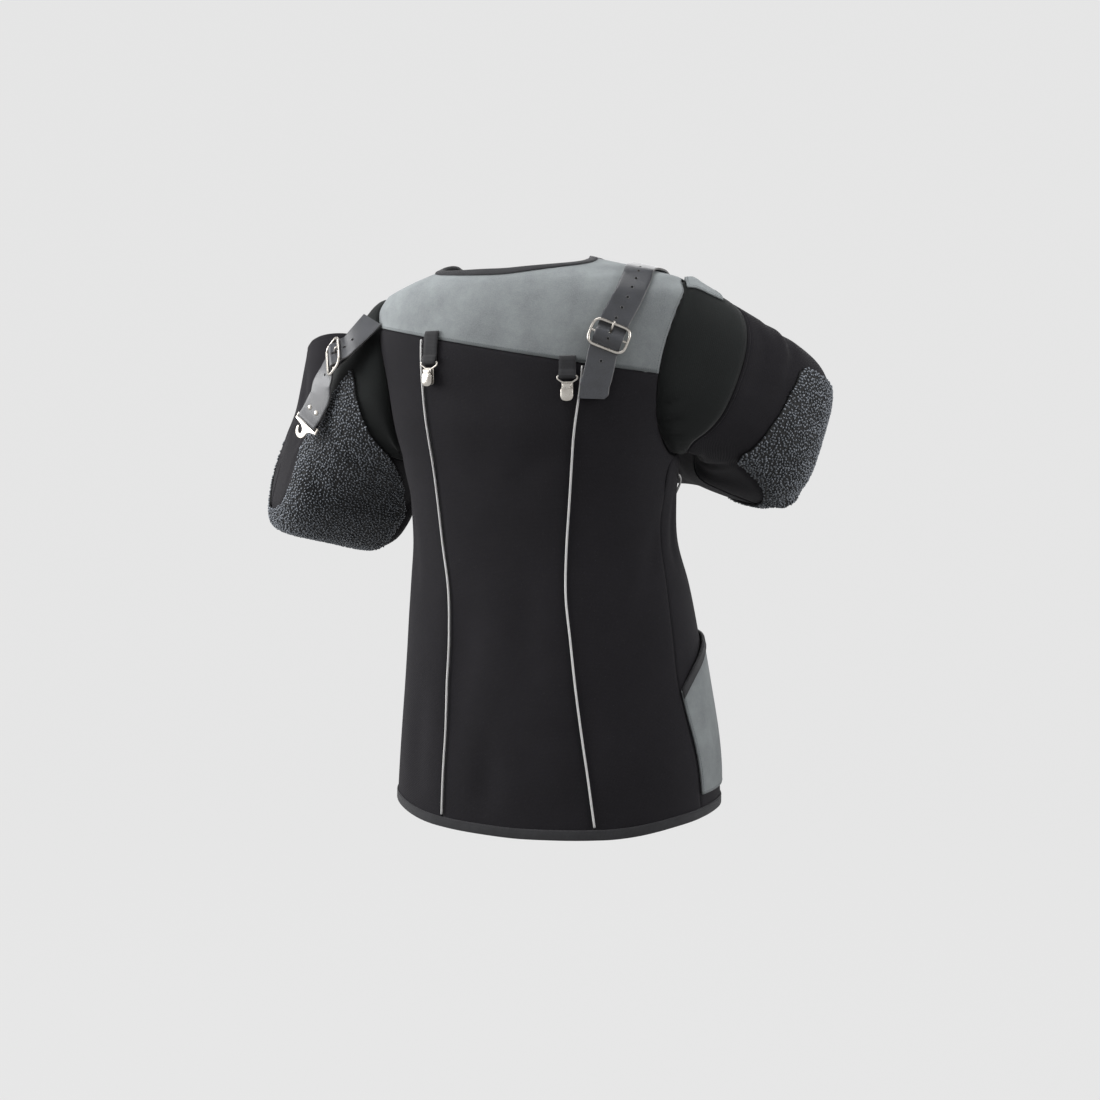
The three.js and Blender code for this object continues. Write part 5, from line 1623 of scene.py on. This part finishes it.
table = evenly(np.concatenate([whole_rail + across * STRAP_HALF * MM, across], axis=1), STRAP_STEP)
centre, across = table[:, :3], unit(table[:, 3:])
ways = unit(np.gradient(centre, axis=0))
ups = unit(np.cross(across, ways))
outward = centre.copy()
outward[:, 2] = np.where(centre[:, 2] > 0, 0.05, 0)
ups *= np.sign(np.sum(ups * outward, axis=1, keepdims=True))
sides = np.cross(ways, ups)
far = run_lengths(centre) / MM
# One corner is cut off the strap's end, the other is a little rounded, and the end is pressed thinner.
TAIL_CUT, TAIL_ROUND, TAIL_NARROWER, TAIL_THICK = 5.0, 1.2, 0.9, 2.4
cut_off = TAIL_CUT * np.clip((far - (far[-1] - TAIL_CUT)) / TAIL_CUT, 0, 1)
rounded_off = np.where(far > far[-1] - TAIL_ROUND, TAIL_NARROWER, 0)
on_right = sides[-1] @ across[-1] > 0
left_mm = STRAP_HALF - (rounded_off if on_right else cut_off)
right_mm = STRAP_HALF - (cut_off if on_right else rounded_off)
thick = np.full(len(centre), STRAP_THICK)
thick[-1] = TAIL_THICK
strap = leather_strap("shoulder_strap_leather", centre, ups, left_mm, right_mm, thick)
bar = length_near(centre, SHOULDER.put(0, 0, 10)) / MM
print("shoulder strap", round(far[-1]), "mm long, its buckle bar at", round(bar))
TONGUE_SLOT = [(-1.7, -12.9), (1.7, -12.9), (1.7, -2.3), (-1.7, -2.3)]


def slot_cutter(name, axes):
    """A block that cuts the slot which a buckle's tongue comes up through."""
    spots = [axes.put(x, y, z) for z in (1, 15) for x, y in TONGUE_SLOT]
    faces = [(3, 2, 1, 0), (4, 5, 6, 7), (0, 1, 5, 4), (1, 2, 6, 5), (2, 3, 7, 6), (3, 0, 4, 7)]
    obj = new_object(name, spots, faces, [RAW_EDGE])
    faces_outward(obj)
    return obj


def hole_places(bar, above, below):
    """The lengths at which a strap has its holes, on both sides of its buckle's bar."""
    return ([bar - BAR_TO_TIP - HOLE_STEP * k for k in range(above)]
            + [bar + BAR_TO_HOLE + HOLE_STEP * k for k in range(below)])


cut_with(strap, [slot_cutter("tongue_slot", SHOULDER)])
punch(strap, "shoulder_strap_hole_rims", centre, ups, hole_places(bar, 7, 3))
declare(strap, "strap_leather", "shoulder_strap")

# %% [markdown]
# ## Sling strap
# A second strap stands off the left sleeve and carries the sling hook. It runs through its own buckle, folds
# round the hook's bar and is riveted back on itself. A shorter layer lies under it. Its stations are the
# under face's middle, with the way its face looks.


# %% Sling strap
def strap_lift(y):
    """How far a strap's under face is off the cloth, where it climbs over a buckle's middle bar."""
    over = BAR_HEIGHT + WIRE + LAID_GAP
    share = 0.5 + 0.5 * math.cos(math.pi * y / BUMP) if abs(y) < BUMP else 0
    return UNDER_BAR + (over - UNDER_BAR) * share


# Where the strap leaves the cloth and where it comes down again: a place under it in mm and the way it faces.
START = [((196, 51, -38), (0.2, 0.93, 0.3)), ((206, 57.5, -51), (0.28, 0.91, 0.3)),
         ((217, 61.5, -63), (0.4, 0.86, 0.3)), ((226, 62.5, -71.5), (0.52, 0.81, 0.28))]
AFTER = [((262.5, 48, -104.5), (0.5, 0.85, 0.14)), ((268.5, 48, -117), (0.38, 0.92, 0.06))]


def laid_row(place, face, rise, half, thick):
    """A strap's station from a place in mm below it: its top, the way it faces, half width and thickness."""
    return [*(np.array(place) * MM + unit(face) * rise * MM), *unit(face), half, thick]


rows = [laid_row(place, face, STRAP_THICK, STRAP_HALF, STRAP_THICK) for place, face in START]
for y in range(-14, 19, 2):
    rows.append([*SLING.put(0, y, strap_lift(y) + STRAP_THICK), *SLING.n, STRAP_HALF, STRAP_THICK])
rows += [laid_row(place, face, STRAP_THICK, STRAP_HALF, STRAP_THICK) for place, face in AFTER]
for y, z, half in ((-36, 1.5, 17), (-27, 1.5, 17), (-18, 1.55, 17), (-11, 1.8, 16.9), (-5.5, 2.9, 16.7)):
    rows.append([*HOOK.put(0, y, z), *HOOK.n, half, 3.0 if y < -20 else 2.6])
FOLD_RADIUS, SKIVED_HALF, SKIVED = 3.8, 16.6, 2.2  # the end is thinned, so that it folds round the bar
for degrees in (10, 45, 80, 115, 150):
    a = math.radians(degrees)
    rows.append([*HOOK.put(0, FOLD_RADIUS * math.sin(a), FOLD_RADIUS * math.cos(a)),
                 *(HOOK.n * math.cos(a) + HOOK.t * math.sin(a)), SKIVED_HALF, SKIVED])
for y in (-5, -11, -18, -25):
    rows.append([*HOOK.put(0, y, -3.9), *-HOOK.n, SKIVED_HALF, SKIVED])
table = evenly(rows, 2.0)
sling_tops, sling_ups = table[:, :3], unit(table[:, 3:6])
sling = leather_strap("sling_strap_leather", sling_tops, sling_ups, table[:, 6], table[:, 6], table[:, 7])
bar = length_near(sling_tops, SLING.put(0, 0, 10)) / MM
cut_with(sling, [slot_cutter("tongue_slot", SLING)])
punch(sling, "sling_strap_hole_rims", sling_tops, sling_ups, hole_places(bar, 2, 3))
declare(sling, "strap_leather", "sling_strap")

UNDER_THICK, UNDER_GAP = 2.4, 2.65
UNDER_END = [(-2, -16, -4.6), (-1, -8, -2.8), (0, 2, -2.2)]
rows = [laid_row(place, face, UNDER_THICK - UNDER_GAP - k, 12.5, UNDER_THICK)
        for k, (place, face) in enumerate(START[:3])]
rows += [[*SLING.put(x, y, z + UNDER_THICK), *SLING.n, 14, UNDER_THICK] for x, y, z in UNDER_END]
table = evenly(rows, 2.4)
under = leather_strap(
    "sling_strap_under_leather", table[:, :3], table[:, 3:6], table[:, 6], table[:, 6], table[:, 7]
)
declare(under, "strap_leather", "sling_strap_under")
print("sling strap with", len(sling.data.polygons), "faces")

# %% [markdown]
# ## Buckles, rivets and hook
# A roller buckle is bent from round wire, so it is a round section swept round a rectangle with rounded
# corners. The hook is punched from plate and its edges are rolled, so it is an outline given a thickness and
# a bevel.


# %% Metal helpers
def rounded(outline, radius, steps=5):
    """An outline of (x, y) corners with each corner cut to a smooth curve."""
    outline = [Vector(p) for p in outline]
    spots = []
    for k, corner in enumerate(outline):
        before, after = outline[k - 1] - corner, outline[(k + 1) % len(outline)] - corner
        a = corner + before.normalized() * min(radius, before.length * 0.48)
        b = corner + after.normalized() * min(radius, after.length * 0.48)
        for i in range(steps + 1):
            t = i / steps
            spots.append(tuple(a * (1 - t) ** 2 + corner * 2 * t * (1 - t) + b * t**2))
    return spots


def metal_plate(name, axes, outline, low, high, edge=0.45, crown=0.0):
    """A plate with rounded edges, from its outline in a fitting's axes. crown makes its face a low dome."""
    middle = Vector((sum(p[0] for p in outline) / len(outline), sum(p[1] for p in outline) / len(outline)))

    def shrink(p, by):
        return (Vector(p) - middle) * (1 - by / max((Vector(p) - middle).length, 1e-6)) + middle

    levels = [(edge, low), (edge * 0.3, low + edge * 0.3), (0, low + edge), (0, high - edge),
              (edge * 0.3, high - edge * 0.3), (edge, high)]
    rings = [[axes.put(*shrink(p, d), z) for p in outline] for d, z in levels]
    if crown:
        for share, rise in ((0.75, 0.45), (0.5, 0.78), (0.25, 0.95)):
            inner = [(Vector(p) - middle) * share + middle for p in outline]
            rings.append([axes.put(*spot, high + crown * rise) for spot in inner])
    n = len(outline)
    spots = [p for ring in rings for p in ring]
    faces = [(i * n + j, i * n + (j + 1) % n, (i + 1) * n + (j + 1) % n, (i + 1) * n + j)
             for i in range(len(rings) - 1) for j in range(n)]
    faces += [tuple(range(n))[::-1], tuple((len(rings) - 1) * n + j for j in range(n))]
    obj = new_object(name, spots, faces, [NICKEL])
    faces_outward(obj)
    obj.data.set_sharp_from_angle(angle=math.radians(60))
    return obj


def metal_bar(name, axes, y, z, radius, half, sides=16):
    """A round bar across a fitting, with rounded ends."""
    line = [axes.put(x, y, z) for x in np.linspace(-half, half, 5)]
    return round_wire(name, line, radius, [NICKEL], sides)


# %% Buckles
RING = [(-22.5, -15), (22.5, -15), (22.5, 15), (-22.5, 15)]
RING_CORNER, BAR_THIN, BAR_HALF, PRONG = 10, 0.8, 21.8, 1.25
TONGUE = [(-0.6, BAR_HEIGHT - 2.7), (-2.6, BAR_HEIGHT - 2.4), (-6, 5.8), (-9, 8.2), (-12, 10), (-14.6, 10.5),
          (-16.8, 10.1)]
for word, axes in (("shoulder", SHOULDER), ("sling", SLING)):
    line = [axes.put(x, y, BAR_HEIGHT) for x, y in rounded(RING, RING_CORNER, 7)]
    ring = round_wire(f"{word}_ring", line, WIRE, [NICKEL], 16, closed=True)
    bar = metal_bar(f"{word}_bar", axes, 0, BAR_HEIGHT, WIRE * BAR_THIN, BAR_HALF)
    declare(join_pieces(f"{word}_buckle_wire", [ring, bar]), "nickel", f"{word}_buckle_frame")
    line = evenly([axes.put(0, y, z) for y, z in TONGUE], 0.8)
    prong = round_wire(f"{word}_buckle_prong", line, PRONG, [NICKEL], 14)
    declare(prong, "nickel", f"{word}_buckle_tongue")

# %% Rivets and hook
RIVET_PROFILE = [(0, -0.6), (3.2, -0.6), (3.45, -0.1), (3.1, 0.5), (2.2, 0.95), (1.1, 1.15), (0, 1.2)]
for word, x in (("upper", 6.5), ("lower", -6.5)):
    spot = HOOK.put(x, -17, 1.7)
    declare(lathe(f"rivet_{word}_head", RIVET_PROFILE, spot, HOOK.n, [NICKEL], 28), "nickel", f"rivet_{word}")

CLAW = [(20.4, 4.8), (-20.4, 4.8), (-20.4, 7.4), (-11, 10), (-6.5, 14), (-5.6, 20), (-2.4, 24.6), (3, 26.4),
        (8.6, 24.4), (11.8, 19.6), (12.2, 13.4), (9.6, 12.6), (8.6, 17), (6.4, 20.4), (3.4, 21.4), (1, 18.6),
        (2, 13.6), (7, 9.6), (20.4, 7.6)]


def flat_claw(name, axes, outline, low, high, edge):
    """A plate whose outline turns in on itself, with its edges bevelled."""
    spots = [axes.put(x, y, low) for x, y in outline] + [axes.put(x, y, high) for x, y in outline]
    n = len(outline)
    faces = [tuple(range(n))[::-1], tuple(range(n, 2 * n))]
    faces += [(j, (j + 1) % n, n + (j + 1) % n, n + j) for j in range(n)]
    obj = new_object(name, spots, faces, [NICKEL])
    faces_outward(obj)
    bm = bmesh.new()
    bm.from_mesh(obj.data)
    rims = [e for e in bm.edges if any(len(f.verts) > 4 for f in e.link_faces)]
    bmesh.ops.bevel(
        bm, geom=rims, offset=edge * MM, segments=3, profile=0.6, affect="EDGES", clamp_overlap=True
    )
    bm.to_mesh(obj.data)
    bm.free()
    obj.data.set_sharp_from_angle(angle=math.radians(50))
    return obj


HOOK_WIRE, PLATE_HALF = 1.4, 1.3
claw = flat_claw("claw_plate", HOOK, rounded(CLAW, 2.2, 3), -PLATE_HALF, PLATE_HALF, 0.5)
leg_lines = [[HOOK.put(x, y, 0) for y in (0, 2, 4, 6)] for x in (-19, 19)]
legs = [round_wire(f"leg_{k}", line, HOOK_WIRE, [NICKEL], 14) for k, line in enumerate(leg_lines)]
hook = join_pieces("sling_hook_claw", [claw, metal_bar("hook_bar", HOOK, 0, 0, HOOK_WIRE, 19.6)] + legs)
declare(hook, "nickel", "sling_hook", body="sling_hook")
print("made buckles, rivets and hook")

# %% [markdown]
# ## Hanging clips
# Each clip hangs in a loop of webbing that comes out of the yoke's seam. The wire bail and the back plate are
# one body. The domed cover turns on a knuckle between two ears, so it rides on its own body.

# %% Webbing loops and clips
TAB_HALF, TAB_THICK = 10.0, 1.5
w, h = TAB_HALF, TAB_THICK
TAB_SECTION = [(-w, -h * 0.75), (-w, -h * 0.25), (-w * 0.97, 0), (-w * 0.5, 0.08), (0, 0.1), (w * 0.5, 0.08),
               (w * 0.97, 0), (w, -h * 0.25), (w, -h * 0.75), (w * 0.97, -h), (0, -h), (-w * 0.97, -h)]
BAIL = rounded([(-11.6, 0), (11.6, 0), (11.6, 3.4), (5, 7.6), (-5, 7.6), (-11.6, 3.4)], 1.6, 4)
BACK_PLATE = rounded([(-6.5, 6.6), (6.5, 6.6), (6.8, 24), (5.6, 26.6), (-5.6, 26.6), (-6.8, 24)], 1.4, 3)
COVER = rounded([(-5.2, 13.2), (5.2, 13.2), (7.2, 15.4), (7.2, 25), (5, 28), (0, 29), (-5, 28), (-7.2, 25),
                 (-7.2, 15.4)], 1.8, 3)
NECK = rounded([(-4.2, 9.4), (4.2, 9.4), (4.2, 15), (-4.2, 15)], 0.8, 3)
for side in ("left", "right"):
    swing = JOINTS[f"clip_{side}_swing"]
    s = Vector(swing["axis"]).normalized()
    axes = Axes(swing["pos_m"], (0, 0, -1), Vector((0, 0, -1)).cross(-s))
    if axes.n.y < 0:
        axes = Axes(swing["pos_m"], (0, 0, -1), -axes.n)
    tall = (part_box(f"clip_{side}_tab")[1].z - axes.at.z) / MM
    bm = merged(f"clip_{side}_tab")
    skin = BVHTree.FromBMesh(bm)
    bm.free()

    def strip_height(y):
        """How far the tab's outer face is off the bail's plane at a height."""
        hit = skin.ray_cast(axes.put(0, y, 20), -axes.n)[0]
        return (hit - axes.at).dot(axes.n) / MM if hit else -1.1

    top_layer = [(-tall - 1.2, strip_height(-tall + 1) - 1.6), (-tall + 1.5, strip_height(-tall + 2) + 0.2)]
    steps = np.linspace(-tall + 5, -9, 5)
    top_layer += [(y, strip_height(y) + 0.7) for y in steps]
    top_layer += [(-6.5, 0.9), (-3.4, 2.0)]
    turn = [(2.7 * math.sin(a), 2.7 * math.cos(a)) for a in (math.radians(d) for d in range(0, 181, 30))]
    back_layer = [(-4, -2.4), (-8, strip_height(-9) - 0.9)]
    line = evenly([axes.put(0, y, z) for y, z in top_layer + turn + back_layer], 1.2)
    facing = []
    for i, p in enumerate(line):
        way = unit(line[min(i + 1, len(line) - 1)] - line[max(i - 1, 0)])
        facing.append(np.cross(np.array(axes.s), way))
    facing = np.array(facing)
    if facing[3] @ np.array(axes.n) < 0:
        facing = -facing
    across = np.repeat(np.array(axes.s)[None], len(line), axis=0)
    tab = swept(f"clip_{side}_webbing", line, across, facing, TAB_SECTION, [WEBBING])
    declare(tab, "webbing", f"clip_{side}_tab")
    seam = [axes.put(x, -10, strip_height(-10) + 0.95) for x in np.linspace(-8.5, 8.5, 8)]
    stitch_lines["dark"].append((seam, None))

    body = f"clip_{side}"
    pieces = [round_wire("bail", [axes.put(x, y, 0) for x, y in BAIL], 1.1, [NICKEL], 12, closed=True),
              metal_plate("clip_plate", axes, BACK_PLATE, -1, 0.5, 0.3)]
    for sign in (1, -1):
        ear = rounded([(sign * 4.6, 8.6), (sign * 6, 8.6), (sign * 6, 12.8), (sign * 4.6, 12.8)], 0.5, 2)
        pieces.append(metal_plate("ear", axes, ear, 0.2, 4.2, 0.2))
    declare(join_pieces(f"{body}_bail_and_plate", pieces), "nickel", f"{body}_body", body=body)

    pieces = [metal_bar("knuckle", axes, 10.5, 3.2, 1.5, 4.0), metal_plate("neck", axes, NECK, 4, 5.6, 0.35),
              metal_plate("cover", axes, COVER, 4, 5.6, 0.5, crown=1.5)]
    declare(join_pieces(f"{body}_cover", pieces), "nickel", f"{body}_lever", body=f"{body}_lever")
print("made two hanging clips")

# %% Stitches, all of them
THREAD, PITCH = 0.62, 3.0
stitches("stitches_dark", stitch_lines["dark"], DARK_THREAD, THREAD, PITCH, "canvas")
stitches("stitches_grey", stitch_lines["grey"], GREY_THREAD, THREAD, PITCH, "suede")

# %% [markdown]
# ## Floor and light
# The floor is a pale shell that rises all round, far outside the picture, so no horizon shows. It glows
# evenly but its glow falls on nothing. The jacket hangs at a wearer's height above it. Four large soft lights
# shape it: the strongest from its left, one from above, a weaker one from its right and a faint one on its
# front for the other views. The world's own weak pale light keeps the shadows open.

# %% Floor
AROUND = 64
FLOOR_Z, FLOOR_RADIUS, COVE = -1.45, 4.2, 1.6
rings = [(r, FLOOR_Z) for r in (0.6, 1.4, 2.4, 3.4, FLOOR_RADIUS)]
rings += [(FLOOR_RADIUS + COVE * math.sin(a), FLOOR_Z + COVE * (1 - math.cos(a)))
          for a in (math.radians(d) for d in range(10, 91, 10))]
rings += [(FLOOR_RADIUS + COVE, FLOOR_Z + COVE + h) for h in (1.2, 2.6, 4.2)]
spots, faces = [(0, 0, FLOOR_Z)], []
for r, z in rings:
    turns = [2 * math.pi * k / AROUND for k in range(AROUND)]
    spots += [(r * math.cos(a), r * math.sin(a), z) for a in turns]
faces += [(0, 1 + k, 1 + (k + 1) % AROUND) for k in range(AROUND)]
for i in range(len(rings) - 1):
    a, b = 1 + i * AROUND, 1 + (i + 1) * AROUND
    faces += [(a + k, b + k, b + (k + 1) % AROUND, a + (k + 1) % AROUND) for k in range(AROUND)]
PALE = colour("#e5e5e5")
pale = new_material("pale_studio_floor", Base_Color=colour("#242424"), Roughness=1.0, Specular_IOR_Level=0.0,
                    Emission_Color=PALE, Emission_Strength=1.0)[0]
floor = new_object("studio_floor", spots, faces, [pale])
floor.visible_diffuse = False


# %% Lights
LIGHT_AIM = Vector((0, 0, -0.32))
LIGHTS = [
    # name, place in metres, width in metres, power in watts
    ("soft_left", (2.7, 1.0, 0.5), 2.2, 85),
    ("soft_top", (0.3, 0.6, 2.3), 2.2, 50),
    ("soft_right", (-2.7, 0.2, 0.5), 1.4, 32),
    ("soft_front", (0.4, -2.6, 1.2), 2.0, 16),
]
for name, spot, size, power in LIGHTS:
    light = linked(name, bpy.data.lights.new(name, "AREA"))
    light.data.shape, light.data.size, light.data.energy = "DISK", size, power
    light.location = spot
    light.rotation_mode = "QUATERNION"
    light.rotation_quaternion = (LIGHT_AIM - Vector(spot)).to_track_quat("-Z", "Y")
    light.visible_camera = False

WORLD_STRENGTH = 0.13
world = bpy.data.worlds.new("studio")
world.use_nodes = True
world.node_tree.nodes["Background"].inputs["Color"].default_value = PALE
world.node_tree.nodes["Background"].inputs["Strength"].default_value = WORLD_STRENGTH
bpy.context.scene.world = world
